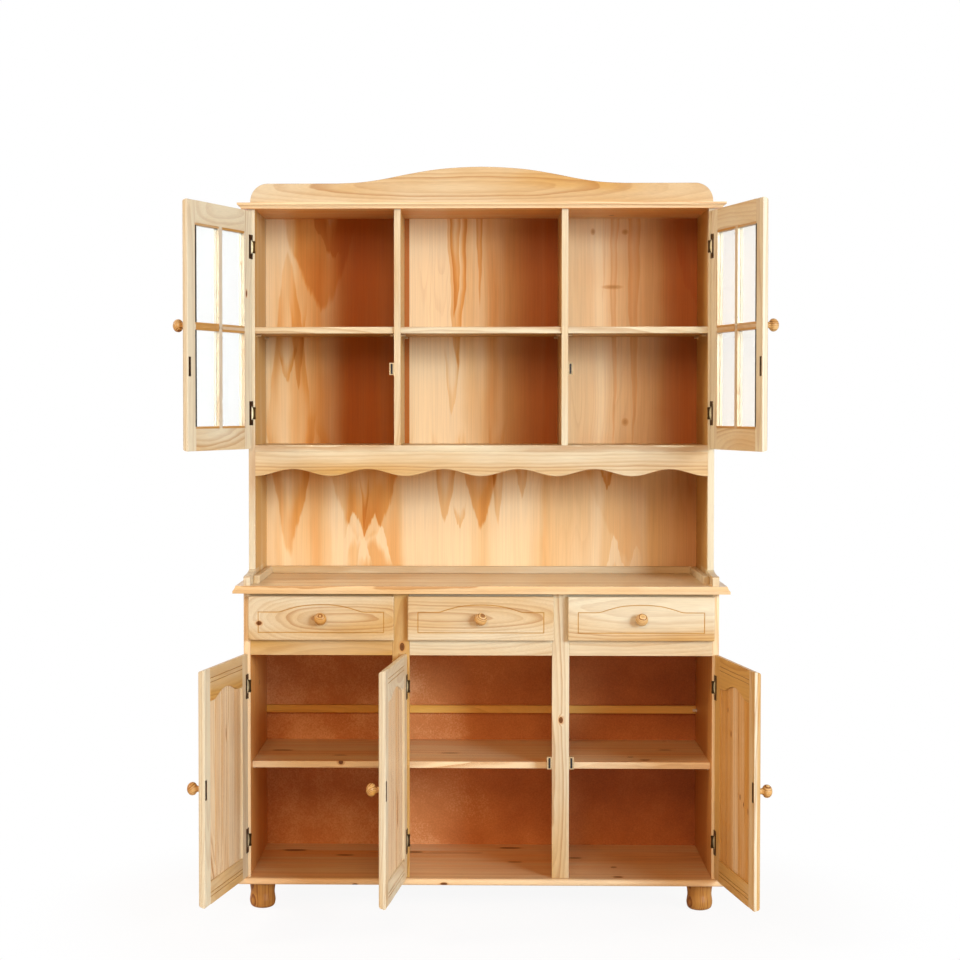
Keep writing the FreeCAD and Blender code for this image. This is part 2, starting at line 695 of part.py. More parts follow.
def upper_door(name, pin_x, hand, angle):
    """A glazed door: two stiles, two rails and a cross of bars round four panes."""
    x0 = pin_to_edge
    x1 = x0 + upper_door_width
    z0 = upper_door_bottom
    z1 = z0 + upper_door_height
    front = door_back - upper_door_thickness
    left = x0 + upper_stile_width
    right = x1 - upper_stile_width
    low = z0 + upper_rail_width
    high = z1 - upper_rail_width
    centre_x = (x0 + x1) / 2
    centre_z = (z0 + z1) / 2
    blank = moulded_blank(upper_door_width, upper_door_height, upper_door_thickness, x0, z0, door_back)
    y0 = front - overrun
    y1 = door_back + overrun
    half_bar = bar_width / 2
    columns = [(left, centre_x - half_bar), (centre_x + half_bar, right)]
    rows = [(low, centre_z - half_bar), (centre_z + half_bar, high)]
    lights = [glazed_light(a, b, c, d) for a, b in columns for c, d in rows]
    rebates = [block(a - glazing_rebate, b + glazing_rebate, door_back - bead_depth - glass_thickness, y1,
                     c - glazing_rebate, d + glazing_rebate) for a, b in columns for c, d in rows]
    members = [
        block(x0 - overrun, left, y0, y1, z0 - overrun, z1 + overrun),
        block(right, x1 + overrun, y0, y1, z0 - overrun, z1 + overrun),
        block(left, right, y0, y1, z0 - overrun, low),
        block(left, right, y0, y1, high, z1 + overrun)]
    for member in members:
        add(name + "_frame", swing(blank.common(member).cut(rebates), pin_x, hutch_front, hand, angle))
    upright = block(centre_x - half_bar, centre_x + half_bar, front, door_back, low, high)
    bars = [upright]
    for a, b in columns:
        bars.append(block(a, b, front, door_back, centre_z - half_bar, centre_z + half_bar))
    for bar in bars:
        add(name + "_bars", swing(bar.cut(rebates), pin_x, hutch_front, hand, angle))
    for pane, beads in lights:
        add(name + "_glass", swing(pane, pin_x, hutch_front, hand, angle))
        for bead in beads:
            add(name + "_beads", swing(bead, pin_x, hutch_front, hand, angle))
    handle = knob(x1 - knob_inset, front, z0 + upper_knob_rise)
    add(name + "_knob", swing(handle, pin_x, hutch_front, hand, angle))
    catch_z = hutch_board_top + upper_catch_rise
    hang_hardware(name, pin_x, hutch_front, hand, angle, (z0 + hinge_inset, z1 - hinge_inset),
                  catch_z, catch_z, upper_door_width)


upper_door("door_upper_left", lower_left_pin, 1, upper_left_angle)
upper_door("door_upper_right", lower_right_pin, -1, upper_right_angle)


# Half the groove's arch from its middle out: (share of the arch's span, share of its rise).
groove_arch_shares = [(0.0, 1.0), (0.10, 0.97), (0.23, 0.80), (0.36, 0.40), (0.45, 0.06), (0.5, 0.0)]


def groove_outline(inset, x, y):
    """The routed line on a drawer front: a rectangle whose top rises in an arch."""
    left = x - drawer_front_width / 2 + groove_inset + inset
    right = x + drawer_front_width / 2 - groove_inset - inset
    top = drawer_front_bottom + drawer_front_height
    low = drawer_front_bottom + groove_bottom_inset + inset
    shoulder_z = top - groove_shoulder_inset - inset
    arch_z = top - groove_arch_inset - inset
    foot_left = left + groove_shoulder_length
    foot_right = right - groove_shoulder_length
    corners = [Vector(foot_left, y, shoulder_z), Vector(left, y, shoulder_z), Vector(left, y, low),
               Vector(right, y, low), Vector(right, y, shoulder_z), Vector(foot_right, y, shoulder_z)]
    edges = [Part.LineSegment(a, b).toShape() for a, b in zip(corners, corners[1:])]
    half_arch = [(0.5 - a, b) for a, b in groove_arch_shares]
    arch_line = half_arch + [(1 - a, b) for a, b in reversed(half_arch[1:])]
    return edges + [curve([Vector(foot_right - a * (foot_right - foot_left), y,
                                  shoulder_z + b * (arch_z - shoulder_z)) for a, b in sorted(arch_line)])]


def drawer(name, x):
    """A drawer: a front that laps its opening, and a box that runs inside it."""
    back = -door_gap
    front = back - drawer_front_thickness
    left = x - drawer_front_width / 2
    right = x + drawer_front_width / 2
    z0 = drawer_front_bottom
    z1 = z0 + drawer_front_height
    face = block(left, right, front, back, z0, z1)
    rim = [e for e in face.Edges if abs(e.BoundBox.YMax - front) < overrun / 2]
    face = face.makeFillet(drawer_edge_radius, rim)
    cut_depth = Vector(0, groove_depth + overrun, 0)
    ring = prism(groove_outline(0, x, front - overrun), cut_depth).cut(
        prism(groove_outline(groove_width, x, front - overrun), cut_depth))
    add(name + "_front", face.cut(ring))
    add(name + "_knob", knob(x, front, (z0 + z1) / 2))
    box_left = x - opening_width / 2 + drawer_side_clearance
    box_right = x + opening_width / 2 - drawer_side_clearance
    box_low = drawer_rail_top + drawer_lift
    box_high = box_low + drawer_box_height
    box_back = back + drawer_box_depth
    bottom_low = box_low + drawer_bottom_rise
    sheet = block(box_left + drawer_wall / 2, box_right - drawer_wall / 2, back + drawer_wall / 2,
                  box_back - drawer_wall / 2, bottom_low, bottom_low + drawer_bottom_thickness)
    inner_left = box_left + drawer_wall
    inner_right = box_right - drawer_wall
    walls = [
        block(box_left, inner_left, back, box_back, box_low, box_high),
        block(inner_right, box_right, back, box_back, box_low, box_high),
        block(inner_left, inner_right, back, back + drawer_wall, box_low, box_high),
        block(inner_left, inner_right, box_back - drawer_wall, box_back, box_low, box_high)]
    add(name + "_box", sheet, *[wall.cut(sheet) for wall in walls])


for name, x in zip(("drawer_left", "drawer_middle", "drawer_right"), bay_centres):
    drawer(name, x)

# Move every piece into the part's own frame and write it out.
os.makedirs("parts", exist_ok=True)
whole = FreeCAD.BoundBox()
for name, solids in nodes.items():
    shape = solids[0] if len(solids) == 1 else Part.makeCompound(solids)
    shape = moved(shape, middle_x, front_y, 0)
    shape.exportStep("parts/" + name + ".step")
    whole.add(shape.BoundBox)
    print(name, len(shape.Solids), "solids", round(shape.Volume / 1000), "cm3", shape.isValid())
extents = (whole.XMin, whole.XMax, whole.YMin, whole.YMax, whole.ZMin, whole.ZMax)
print("whole", [round(value, 1) for value in extents])
for name, x, y in (("lower left", lower_left_pin, 0), ("lower middle", lower_middle_pin, 0),
                   ("lower right", lower_right_pin, 0), ("upper", lower_right_pin, hutch_front)):
    print("hinge axis", name, round(x + middle_x, 2), round(y - pin_forward + front_y, 2))
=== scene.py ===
# %% [markdown]
# # A pine display cabinet with its doors open
# The cabinet is a base cupboard with three drawers and three doors, and a hutch with two glazed
# doors. The CAD frame already has every piece at its real size. Blender adds what the drafting
# leaves out: eased edges, mouldings, boards whose grain runs the right way, knots and lacquer.

# %% Load the frame
import math
import bmesh
import bpy
import numpy as np
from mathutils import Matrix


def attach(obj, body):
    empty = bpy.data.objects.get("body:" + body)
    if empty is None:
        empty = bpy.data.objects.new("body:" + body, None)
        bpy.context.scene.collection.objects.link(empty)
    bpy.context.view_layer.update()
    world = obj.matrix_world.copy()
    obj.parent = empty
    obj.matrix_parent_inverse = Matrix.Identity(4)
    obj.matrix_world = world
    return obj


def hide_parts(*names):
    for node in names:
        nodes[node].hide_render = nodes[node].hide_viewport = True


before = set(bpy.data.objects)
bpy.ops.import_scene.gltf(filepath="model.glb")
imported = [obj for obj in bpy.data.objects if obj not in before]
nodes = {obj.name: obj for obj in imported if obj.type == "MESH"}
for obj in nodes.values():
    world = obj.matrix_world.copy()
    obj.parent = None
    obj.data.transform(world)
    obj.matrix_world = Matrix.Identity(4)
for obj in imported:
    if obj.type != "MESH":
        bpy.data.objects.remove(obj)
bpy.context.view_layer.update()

# %% [markdown]
# ## Boards as surfaces
# Nearly every piece of a pine cabinet starts as a flat board with a worked edge. A cube with a
# Bevel could stand for a plain board, but not for an apron's waves, a moulded rim or a routed line.
# One surface covers all of them: a grid of points seen from the front, with a depth for its front
# and a depth for its back, and a strip that joins the two rims. The lines of the grid are placed
# where an edge is worked, so the flats stay light.

# %% A closed slab over a grid
MM = 0.001
PAST = 0.6    # from the end of a rounding to the first line on the flat, in mm
SHIFT = np.array([17.0, -31.5, 0.0])    # from the cabinet's drawing to the part's frame, in mm


def relief(u, v, low, high):
    """Points (u, v, low) and (u, v, high) over one grid, and a strip of quads round both rims."""
    u, v, low, high = np.broadcast_arrays(u, v, low, high)
    count = u.size
    sheets = [np.stack([u, v, depth], -1) for depth in (low, high)]
    points = np.stack(sheets).reshape(-1, 3).astype(float)
    index = np.arange(count).reshape(u.shape)
    quads = np.stack([index[:-1, :-1], index[1:, :-1], index[1:, 1:], index[:-1, 1:]], -1)
    quads = quads.reshape(-1, 4)
    rim = np.concatenate([index[:-1, 0], index[-1, :-1], index[:0:-1, -1], index[0, :0:-1]])
    after = np.roll(rim, -1)
    strip = np.stack([rim, after, after + count, rim + count], -1)
    return points, np.concatenate([quads, quads[:, ::-1] + count, strip])


def arris_insets(radius, steps=4):
    """Distances from an edge: radius (1 - cos t) for even turns t, and one just past it."""
    turn = np.linspace(0, math.pi / 2, steps + 1)
    return np.append(radius * (1 - np.cos(turn)), radius + PAST)


def arris_drop(distance, radius):
    """How far a face falls near its rounded edge: r - sqrt(r squared - (r - distance) squared)."""
    inside = np.clip(radius - distance, 0, radius)
    return radius - np.sqrt(radius ** 2 - inside ** 2)


def rows(start, end, near, far):
    """Grid lines between two edges, crowded by the given insets at each."""
    return np.concatenate([start + np.asarray(near), end - np.asarray(far)[::-1]])


print("a 1.2 mm arris is cut at", arris_insets(1.2).round(2), "mm")

# %% [markdown]
# ## Grain that belongs to each board
# The cabinet is made of boards cut from different trees, with the grain along each one. Instead
# each vertex carries where it lies in its own board: along the grain, across it and through it.
# Each board also knows where the heart of its tree lay, and how the trunk bowed away from the
# board. A heart close behind a face gives nested flames, and one far off gives straight lines. A
# seed, a tone from pale to golden and a knottiness ride along with the mesh too.

# %% A part with its grain
rng = np.random.default_rng(11)


def grained(points, quads, along, across, tone=None, knots=0.3, heart=None, caps=()):
    """A part with its grain.

    A heart is (start along, place across, depth behind the face, all in mm; bow in 1/m).
    """
    base = points.min(axis=0)
    size = points.max(axis=0) - base
    if heart is None:
        share = rng.uniform((0.1, -0.5), (0.9, 1.5))
        start, aside = base[[along, across]] + size[[along, across]] * share
        deep, sag = rng.uniform(10.0, 60.0), rng.uniform(0.01, 0.06)
        heart = (start, aside, deep, sag / (size[along] * MM) ** 2)
    start, aside, deep, bow = heart
    grain = (points - base)[:, [along, across, 3 - along - across]] * MM
    grain[:, 0] += (base[along] - start) * MM
    chance, seed = rng.random(2)
    rows_of = {"plank": (seed, 0.12 + 0.33 * chance if tone is None else tone, knots),
               "heart": (bow, (aside - base[across]) * MM, deep * MM)}
    part = {"points": points, "quads": quads, "caps": list(caps), "grain": grain}
    return part | {key: np.tile(row, (len(points), 1)) for key, row in rows_of.items()}


# %% A straight board
def board(low, high, along, radius=1.2, **look):
    """A straight board between two corners, its wide faces rounded off along every edge."""
    low, high = np.asarray(low, float), np.asarray(high, float)
    through = int(np.argmin(high - low))
    a, b = [axis for axis in range(3) if axis != through]
    across = b if along == a else a
    radius = min(radius, (high - low)[through] * 0.45)
    cut = arris_insets(radius, 3)
    u = rows(low[a], high[a], cut, cut)[:, None]
    v = rows(low[b], high[b], cut, cut)[None, :]
    edge = np.minimum(np.minimum(u - low[a], high[a] - u), np.minimum(v - low[b], high[b] - v))
    drop = arris_drop(edge, radius)
    points, quads = relief(u, v, low[through] + drop, high[through] - drop)
    placed = np.empty_like(points)
    placed[:, [a, b, through]] = points
    return grained(placed, quads, along, across, **look)


print("a board's arrises are rounded at", arris_insets(1.2, 3).round(2), "mm from its edges")

# %% [markdown]
# ## From parts to one object
# A CAD node can hold several boards, so one object joins them and stands in for the node. It rides
# on the body that the node belongs to, and so opens with its door or drawer. Faces are smooth, and
# only the edges that turn sharply keep a crease.

# %% One object from several parts
SHARP = math.radians(24)    # edges that turn more than this keep their crease


def piece(name, body, replaced, material, parts, place=None):
    """One object from several parts: joined arrays, three attributes, faces turned outward."""
    starts = np.cumsum([0] + [len(part["points"]) for part in parts])
    points = np.concatenate([part["points"] for part in parts])
    if place is not None:
        points = place(points)
    numbered = list(zip(parts, starts))
    faces = np.concatenate([part["quads"] + start for part, start in numbered]).tolist()
    faces += [(cap + start).tolist() for part, start in numbered for cap in part["caps"]]
    mesh = bpy.data.meshes.new(name)
    mesh.from_pydata((points + SHIFT) * MM, [], faces)
    for key in ("grain", "plank", "heart"):
        data = np.concatenate([part[key] for part in parts]).astype(np.float32)
        mesh.attributes.new(key, "FLOAT_VECTOR", "POINT").data.foreach_set("vector", data.ravel())
    shell = bmesh.new()
    shell.from_mesh(mesh)
    bmesh.ops.recalc_face_normals(shell, faces=shell.faces)
    shell.to_mesh(mesh)
    shell.free()
    mesh.shade_smooth()
    mesh.set_sharp_from_angle(angle=SHARP)
    mesh.materials.append(material)
    thing = bpy.data.objects.new(name, mesh)
    bpy.context.scene.collection.objects.link(thing)
    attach(thing, body)
    if replaced:
        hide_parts(*replaced)
    return thing


print("edges that turn more than", round(math.degrees(SHARP)), "degrees keep their crease")

# %% [markdown]
# ## Colours and the one helper for nodes
# Colours are written as they look on a screen. The renderer works with light, so one function
# turns a hex colour into linear numbers. Another adds a node with its settings and its inputs,
# which keeps each material readable as a list of steps.

# %% Colours
def colour(code):
    """A hex colour as linear RGBA, by the sRGB curve."""
    value = np.array([int(code[i:i + 2], 16) for i in (1, 3, 5)]) / 255
    linear = np.where(value <= 0.04045, value / 12.92, ((value + 0.055) / 1.055) ** 2.4)
    return (*linear.tolist(), 1.0)


print("mid grey #808080 is", round(colour("#808080")[0], 3), "in linear light")

# %% One call for a node
def add(tree, kind, inputs=(), **settings):
    """Add one node. Settings are its properties. An input is (socket, value or an output)."""
    made = tree.nodes.new("ShaderNode" + kind)
    for key, value in settings.items():
        setattr(made, key, value)
    for socket, value in inputs:
        if isinstance(value, bpy.types.NodeSocket):
            tree.links.new(value, made.inputs[socket])
        else:
            made.inputs[socket].default_value = value
    return made


def ramp(tree, factor, stops, interpolation="LINEAR"):
    """A Color Ramp with its stops given as (position, hex colour)."""
    made = add(tree, "ValToRGB", [("Fac", factor)])
    made.color_ramp.interpolation = interpolation
    band = made.color_ramp.elements
    while len(band) < len(stops):
        band.new(0.5)
    for stop, (position, code) in zip(band, stops):
        stop.position = position
        stop.color = colour(code)
    return made


def start_material(name):
    """An empty node material and its shader."""
    material = bpy.data.materials.new(name)
    material.use_nodes = True
    return material, material.node_tree, material.node_tree.nodes["Principled BSDF"]


# %% Sums, ranges and mixtures
def calc(tree, operation, *values):
    """A Math node over numbers and other nodes' outputs."""
    return add(tree, "Math", enumerate(values), operation=operation).outputs[0]


def vector(tree, operation, *values):
    """A Vector Math node over triples and other nodes' outputs."""
    made = add(tree, "VectorMath", enumerate(values), operation=operation)
    return made.outputs["Value" if operation in ("LENGTH", "DISTANCE") else "Vector"]


def span(tree, value, start, end, low=0.0, high=1.0, kind="SMOOTHSTEP"):
    """A Map Range node: start to end becomes low to high."""
    inputs = [("Value", value), ("From Min", start), ("From Max", end),
              ("To Min", low), ("To Max", high)]
    return add(tree, "MapRange", inputs, interpolation_type=kind).outputs[0]


def blend(tree, factor, first, second):
    """Mix two colours, each a hex code or another node's output."""
    pair = [(socket, colour(one) if isinstance(one, str) else one)
            for socket, one in ((6, first), (7, second))]
    return add(tree, "Mix", [("Factor", factor)] + pair, data_type="RGBA").outputs[2]


# %% Places and patterns
def noise(tree, place, detail=2.0, scale=(1.0, 1.0, 1.0)):
    """A Noise Texture over a place that is first stretched by a scale per metre."""
    stretched = vector(tree, "MULTIPLY", place, scale)
    return add(tree, "TexNoise", [("Vector", stretched), ("Scale", 1.0), ("Detail", detail)])


def own_place(tree):
    """A point in the object's own coordinates, in metres."""
    return add(tree, "TexCoord").outputs["Object"]


def split(tree, triple):
    """The three numbers of a vector."""
    return add(tree, "SeparateXYZ", [(0, triple)]).outputs


def ball(tree, spot, centre, radii):
    """The length of (spot - centre) / radii: 1 on the skin of an egg round the centre."""
    away = vector(tree, "SUBTRACT", spot, centre)
    return vector(tree, "LENGTH", vector(tree, "DIVIDE", away, radii))


def by_number(tree, number, scale, detail):
    """Noise along a single number."""
    inputs = [("W", number), ("Scale", scale), ("Detail", detail)]
    return add(tree, "TexNoise", inputs, noise_dimensions="1D").outputs[0]


def carried(tree, key):
    """The three numbers that a mesh carries under a name."""
    return split(tree, add(tree, "Attribute", attribute_name=key).outputs["Vector"])


def finish(tree, shader, base, rough, height, strength=0.1, reach=0.0005):
    """Link a base colour, a roughness and a bump to the shader."""
    bump = add(tree, "Bump", [("Height", height), ("Strength", strength), ("Distance", reach)])
    for socket, output in (("Base Color", base), ("Roughness", rough), ("Normal", bump.outputs[0])):
        tree.links.new(output, shader.inputs[socket])


print("node helpers:", [one.__name__ for one in (calc, vector, span, blend, noise, ball, finish)])

# %% [markdown]
# ## Lacquered pine
# Pine's figure comes from its growth rings: a pale, wide band of spring wood and a thin, darker
# band of summer wood, some 5 to 10 mm apart in a quick-grown tree. A picture of wood can't follow a
# board round its corners. Here each board is cut out of a tree made of rings instead. The distance
# from the tree's heart gives the ring, and slow noise makes the trunk wander. Flat faces get
# flames, edges get lines and board ends get arcs, all by themselves. Wide panels are glued up
# from staves, so a stave number moves each one to another tree.

# %% Knots and rings
def knot_field(tree, in_tree, knotty, knots):
    """0 in clear wood to 1 in a knot: where a cell's random centre is near, and at chosen spots."""
    cells = add(tree, "TexVoronoi", [("Vector", in_tree), ("Scale", 6.0)])
    luck = add(tree, "SeparateColor", [(0, cells.outputs["Color"])]).outputs[0]
    near = span(tree, cells.outputs["Distance"], 0.10, 0.015)
    branch = calc(tree, "MULTIPLY", near, calc(tree, "LESS_THAN", luck, knotty))
    spot = own_place(tree)
    for centre, radii in knots:
        gap = ball(tree, spot, centre, radii)
        branch = calc(tree, "MAXIMUM", branch, span(tree, gap, 2.2, 0.2))
    return branch


def ring_lines(tree, bent, branch, ring, contrast):
    """The dark summer line of each ring, and noise that makes runs of years paler or more golden."""
    # The ring's phase: distance from the heart, pushed aside round a knot.
    radius = vector(tree, "LENGTH", vector(tree, "MULTIPLY", bent, (0.0, 1.0, 1.0)))
    rings = calc(tree, "DIVIDE", calc(tree, "MULTIPLY_ADD", branch, 0.012, radius), ring)
    phase = calc(tree, "FRACT", rings)
    late = calc(tree, "MULTIPLY", span(tree, phase, 0.25, 0.9), span(tree, phase, 1.0, 0.93))
    # Some years stand out and others hardly show.
    year = by_number(tree, rings, 0.41, 1.0)
    late = calc(tree, "MULTIPLY", late, span(tree, year, 0.35, 0.68, 0.12 * contrast, contrast))
    return late, by_number(tree, rings, 0.13, 0.0)


# %% The pine material
def pine(name, pale, golden, summer, stave=None, ring=0.0085, contrast=0.7, knots=(), shine=0.36,
         coat=0.04):
    """Wood by its growth rings, in metres; a panel is glued from boards as wide as a stave."""
    material, tree, shader = start_material(name)
    along, across, through = carried(tree, "grain")
    seed, tone, knotty = carried(tree, "plank")
    bow, aside, deep = carried(tree, "heart")
    # The place as seen from the heart, which bows away with the square of the length.
    sag = calc(tree, "MULTIPLY_ADD", calc(tree, "MULTIPLY", along, along), bow, through)
    in_tree = add(tree, "CombineXYZ", [("X", calc(tree, "MULTIPLY_ADD", seed, 9.0, along)),
                                       ("Y", calc(tree, "SUBTRACT", across, aside)),
                                       ("Z", calc(tree, "ADD", sag, deep))]).outputs[0]
    chance = seed
    if stave:
        # A stave's number moves it by up to 7 m along the trunk and some centimetres across.
        number = calc(tree, "FLOOR", calc(tree, "DIVIDE", across, stave))
        pair = add(tree, "CombineXYZ", [("X", seed), ("Y", number)]).outputs[0]
        dice = add(tree, "TexWhiteNoise", [("Vector", pair)])
        in_tree = vector(tree, "MULTIPLY_ADD", dice.outputs["Color"], (7.0, 0.14, 0.06), in_tree)
        chance = dice.outputs["Value"]
    # Slow noise, five times longer along the trunk than across it, bends the rings, and a fine
    # one ripples them.
    slow = noise(tree, in_tree, 3.0, (1.6, 8.0, 8.0))
    sway = vector(tree, "SUBTRACT", slow.outputs["Color"], (0.5, 0.5, 0.5))
    bent = vector(tree, "MULTIPLY_ADD", sway, (0.0, 0.034, 0.034), in_tree)
    ripple = noise(tree, in_tree, 2.0, (16.0, 70.0, 70.0)).outputs["Color"]
    bent = vector(tree, "MULTIPLY_ADD", ripple, (0.0, 0.0025, 0.0025), bent)
    branch = knot_field(tree, in_tree, knotty, knots)
    late, run = ring_lines(tree, bent, branch, ring, contrast)
    # Pale or golden: the tone of the board, with the runs of years, slow noise and chance.
    drift = calc(tree, "MULTIPLY_ADD", run, 1.0, tone)
    drift = calc(tree, "MULTIPLY_ADD", slow.outputs["Fac"], 2.0, drift)
    drift = calc(tree, "ADD", calc(tree, "MULTIPLY_ADD", chance, 0.3, drift), -1.65)
    body = blend(tree, drift, pale, golden)
    ringed = blend(tree, late, body, summer)
    # Fibres a third of a millimetre wide and some centimetres long.
    fibre = noise(tree, in_tree, 2.0, (22.0, 900.0, 900.0)).outputs["Fac"]
    fibred = vector(tree, "MULTIPLY", ringed, span(tree, fibre, 0.3, 0.7, 0.92, 1.03))
    # A knot is a dark ring round a red-brown middle, in a warm halo.
    warmed = blend(tree, span(tree, branch, 0.1, 0.75, 0.0, 0.6), fibred, "#c98a42")
    knot_tone = ramp(tree, branch, [(0.60, "#a86c2c"), (0.8, "#583210"),
                                    (0.92, "#7c4a1c"), (1.0, "#643a14")])
    knotted = blend(tree, span(tree, branch, 0.58, 0.78), warmed, knot_tone.outputs["Color"])
    # A tone above 1 blends toward brown: a darker brown on the feet, and painted shade in the routed
    # and scored lines, on the faces inside the base and under the hutch's shelves.
    final = blend(tree, span(tree, tone, 1.0, 3.0, 0.0, 0.95), knotted, "#7a4a20")
    # Satin, a little rougher on the fibres, with the rings just felt under it.
    rough = span(tree, fibre, 0.0, 1.0, shine - 0.05, shine + 0.12, "LINEAR")
    finish(tree, shader, final, rough, calc(tree, "ADD", late, fibre), 0.1, 0.0006)
    shader.inputs["Coat Weight"].default_value = coat
    shader.inputs["Coat Roughness"].default_value = 0.3
    shader.inputs["Specular IOR Level"].default_value = 0.22
    return material


# %% Knots at chosen places, and the pine finishes
# Knots that the photograph shows: centre and half-sizes in metres, longer along the grain.
stile_knots = [
    ((0.233, -0.032, 0.519), (0.006, 0.02, 0.009)), ((-0.195, -0.032, 0.716), (0.007, 0.02, 0.012)),
    ((0.6476, -0.032, 0.825), (0.003, 0.02, 0.012)), ((-0.6235, 0.068, 1.672), (0.02, 0.004, 0.009)),
    ((-0.608, -0.032, 0.394), (0.003, 0.02, 0.004)),
    ((-0.5795, -0.050, 0.781), (0.008, 0.02, 0.006))]
panel_knots = [
    ((0.668, -0.154, 0.565), (0.02, 0.0035, 0.007)), ((0.6725, -0.185, 0.506), (0.02, 0.004, 0.008)),
    ((0.686, -0.276, 0.356), (0.02, 0.005, 0.008)), ((0.690, -0.310, 0.343), (0.02, 0.004, 0.006)),
    ((0.6975, -0.352, 0.332), (0.02, 0.004, 0.009)),
    ((-0.649, -0.222, 0.510), (0.02, 0.0025, 0.014))]
shelf_knots = [
    ((-0.540, 0.211, 0.395), (0.030, 0.008, 0.03)), ((-0.373, 0.127, 0.395), (0.018, 0.005, 0.03)),
    ((-0.069, 0.169, 0.395), (0.026, 0.006, 0.03)), ((0.466, 0.061, 0.395), (0.014, 0.009, 0.03)),
    ((0.536, 0.237, 0.395), (0.018, 0.006, 0.03)), ((-0.364, 0.021, 0.394), (0.007, 0.01, 0.006)),
    ((-0.516, 0.328, 0.09), (0.035, 0.012, 0.02)), ((-0.368, 0.262, 0.09), (0.026, 0.008, 0.02)),
    ((-0.171, 0.308, 0.09), (0.024, 0.010, 0.02)), ((0.102, 0.372, 0.09), (0.032, 0.010, 0.02)),
    ((0.113, 0.178, 0.09), (0.022, 0.006, 0.02)), ((0.283, 0.236, 0.09), (0.020, 0.007, 0.02)),
    ((0.389, -0.011, 0.09), (0.014, 0.008, 0.02)), ((-0.082, -0.049, 0.077), (0.010, 0.02, 0.004)),
    ((-0.322, -0.049, 0.073), (0.008, 0.02, 0.004))]
lacquered_pine = pine("pine_ringed_lacquered", "#ddd3b3", "#c79c56", "#a26b2f", contrast=0.55,
                      knots=stile_knots)
shelf_pine = pine("pine_glued_staves_knotty", "#f0d6a8", "#e8a65a", "#b0702e", stave=0.094,
                  knots=shelf_knots)
worktop_pine = pine("pine_worktop_rubbed_to_a_sheen", "#ecd8b0", "#d3a35c", "#a87232", coat=0.32)
bar_pine = pine("pine_bars_and_beads_bleached", "#d2c7ad", "#bf8e4a", "#9c7440", contrast=0.5)
PANEL_BOARD = 0.0586    # the width of one of the five boards of a door panel, in metres
panel_pine = pine("pine_grooved_panel_boards", "#e9d3aa", "#cb9448", "#a3692c", stave=PANEL_BOARD,
                  contrast=1.0, knots=panel_knots)
# The battens are brighter and more golden than the wood, as painted light, so that they read golden
# in the shade inside the base.
batten_pine = pine("pine_battens_golden_painted_light", "#ffdf8c", "#f6bc50", "#d2922f", contrast=0.35)
turned_pine = pine("pine_turned_and_polished", "#e2c287", "#c89144", "#875120", ring=0.005,
                   contrast=1.3, shine=0.28)
print("finishes so far:", [material.name for material in bpy.data.materials])

# %% [markdown]
# ## Plain boards, measured off the frame
# Sides, shelves, rails and stiles are plain boards, so their size comes from the frame itself. A
# node can hold several boards that stand apart. Their meshes are split where no edge joins them,
# and each one's two corners give a new board with softened arrises and its own grain.

# %% Read the boards of a node
def corners_of(node):
    """The two corners, in drawing mm, of each loose part of a CAD node.

    Each point takes the lowest label among its neighbours, until no label changes any more.
    """
    mesh = nodes[node].data
    points = np.empty(len(mesh.vertices) * 3)
    mesh.vertices.foreach_get("co", points)
    spots, same = np.unique(points.reshape(-1, 3).round(6), axis=0, return_inverse=True)
    edges = np.empty(len(mesh.edges) * 2, int)
    mesh.edges.foreach_get("vertices", edges)
    ends = same.reshape(-1)[edges].reshape(-1, 2)
    label = np.arange(len(spots))
    while True:
        least = np.minimum(label[ends[:, 0]], label[ends[:, 1]])
        new = label.copy()
        np.minimum.at(new, ends[:, 0], least)
        np.minimum.at(new, ends[:, 1], least)
        if (new == label).all():
            break
        label = new
    found = [spots[label == one] / MM - SHIFT for one in np.unique(label)]
    pairs = [(part.min(axis=0), part.max(axis=0)) for part in found]
    return sorted(pairs, key=lambda pair: pair[0].tolist())


def plain(node, along, material=lacquered_pine, tones=None, edge=None, under=None, outer=None,
          **look):
    """A board for each board of a node. Its front edge, underside or outer face may differ."""
    pairs = corners_of(node)
    tones = tones or [None] * len(pairs)
    parts = [board(low, high, along, tone=tone, **look) for (low, high), tone in zip(pairs, tones)]
    for part, (low, high) in zip(parts, pairs):
        if outer is not None:
            side = max(abs(low[0]), abs(high[0]))
            part["plank"][np.abs(part["points"][:, 0]) > side - ON_FACE, 1] = outer
        if under is not None:
            part["plank"][part["points"][:, 2] < low[2] + ON_FACE, 1] = under
        if edge is not None:
            part["plank"][part["points"][:, 1] < low[1] + ON_EDGE, 1] = edge
    return piece(node + "_boards", "carcass", [node], material, parts)


X, Y, Z = 0, 1, 2
ON_FACE, ON_EDGE = 0.1, 1.3    # how near a face, or a rounded edge, a point counts as on it, in mm
# The tones are partly each board's own and partly painted light and shade: front edges and outer
# faces are paler where light falls, and a tone above 1 is painted shade on the base sides and under
# the hutch's shelves and bottom board.
made = [
    plain("base_side_left", Z, shelf_pine, [1.2], -0.5, outer=0.2),
    plain("base_side_right", Z, shelf_pine, [1.7], -0.5, outer=0.2),
    plain("base_dividers", Z, shelf_pine, [0.7, 0.7]),
    plain("front_stiles", Z, tones=[0.95, 0.25], knots=0.1),
    plain("drawer_rails", X, tones=[0.75, 0.75, 0.15, 0.15, 0.15, 0.15]),
    plain("back_battens", X, batten_pine, [0.8, 0.8, 0.8]),
    plain("lower_shelves", X, shelf_pine, [0.25, 0.2, 0.3], -0.4, knots=0.75),
    plain("hutch_dividers", Z, tones=[1.0, 1.0], edge=0.1),
    plain("hutch_shelves", X, tones=[0.6, 0.6, 0.6], edge=0.1, under=1.5),
    plain("hutch_bottom_board", X, tones=[0.5], edge=-0.1, under=1.3)]
faces = sum(len(thing.data.polygons) for thing in made)
print("plain boards:", faces, "faces in", len(made), "pieces")

# %% [markdown]
# ## Sizes used by the shaped pieces
# The shaped boards aren't boxes, so their outlines are drawn again here from the same few sizes as
# the drafting, in its own place and in millimetres.

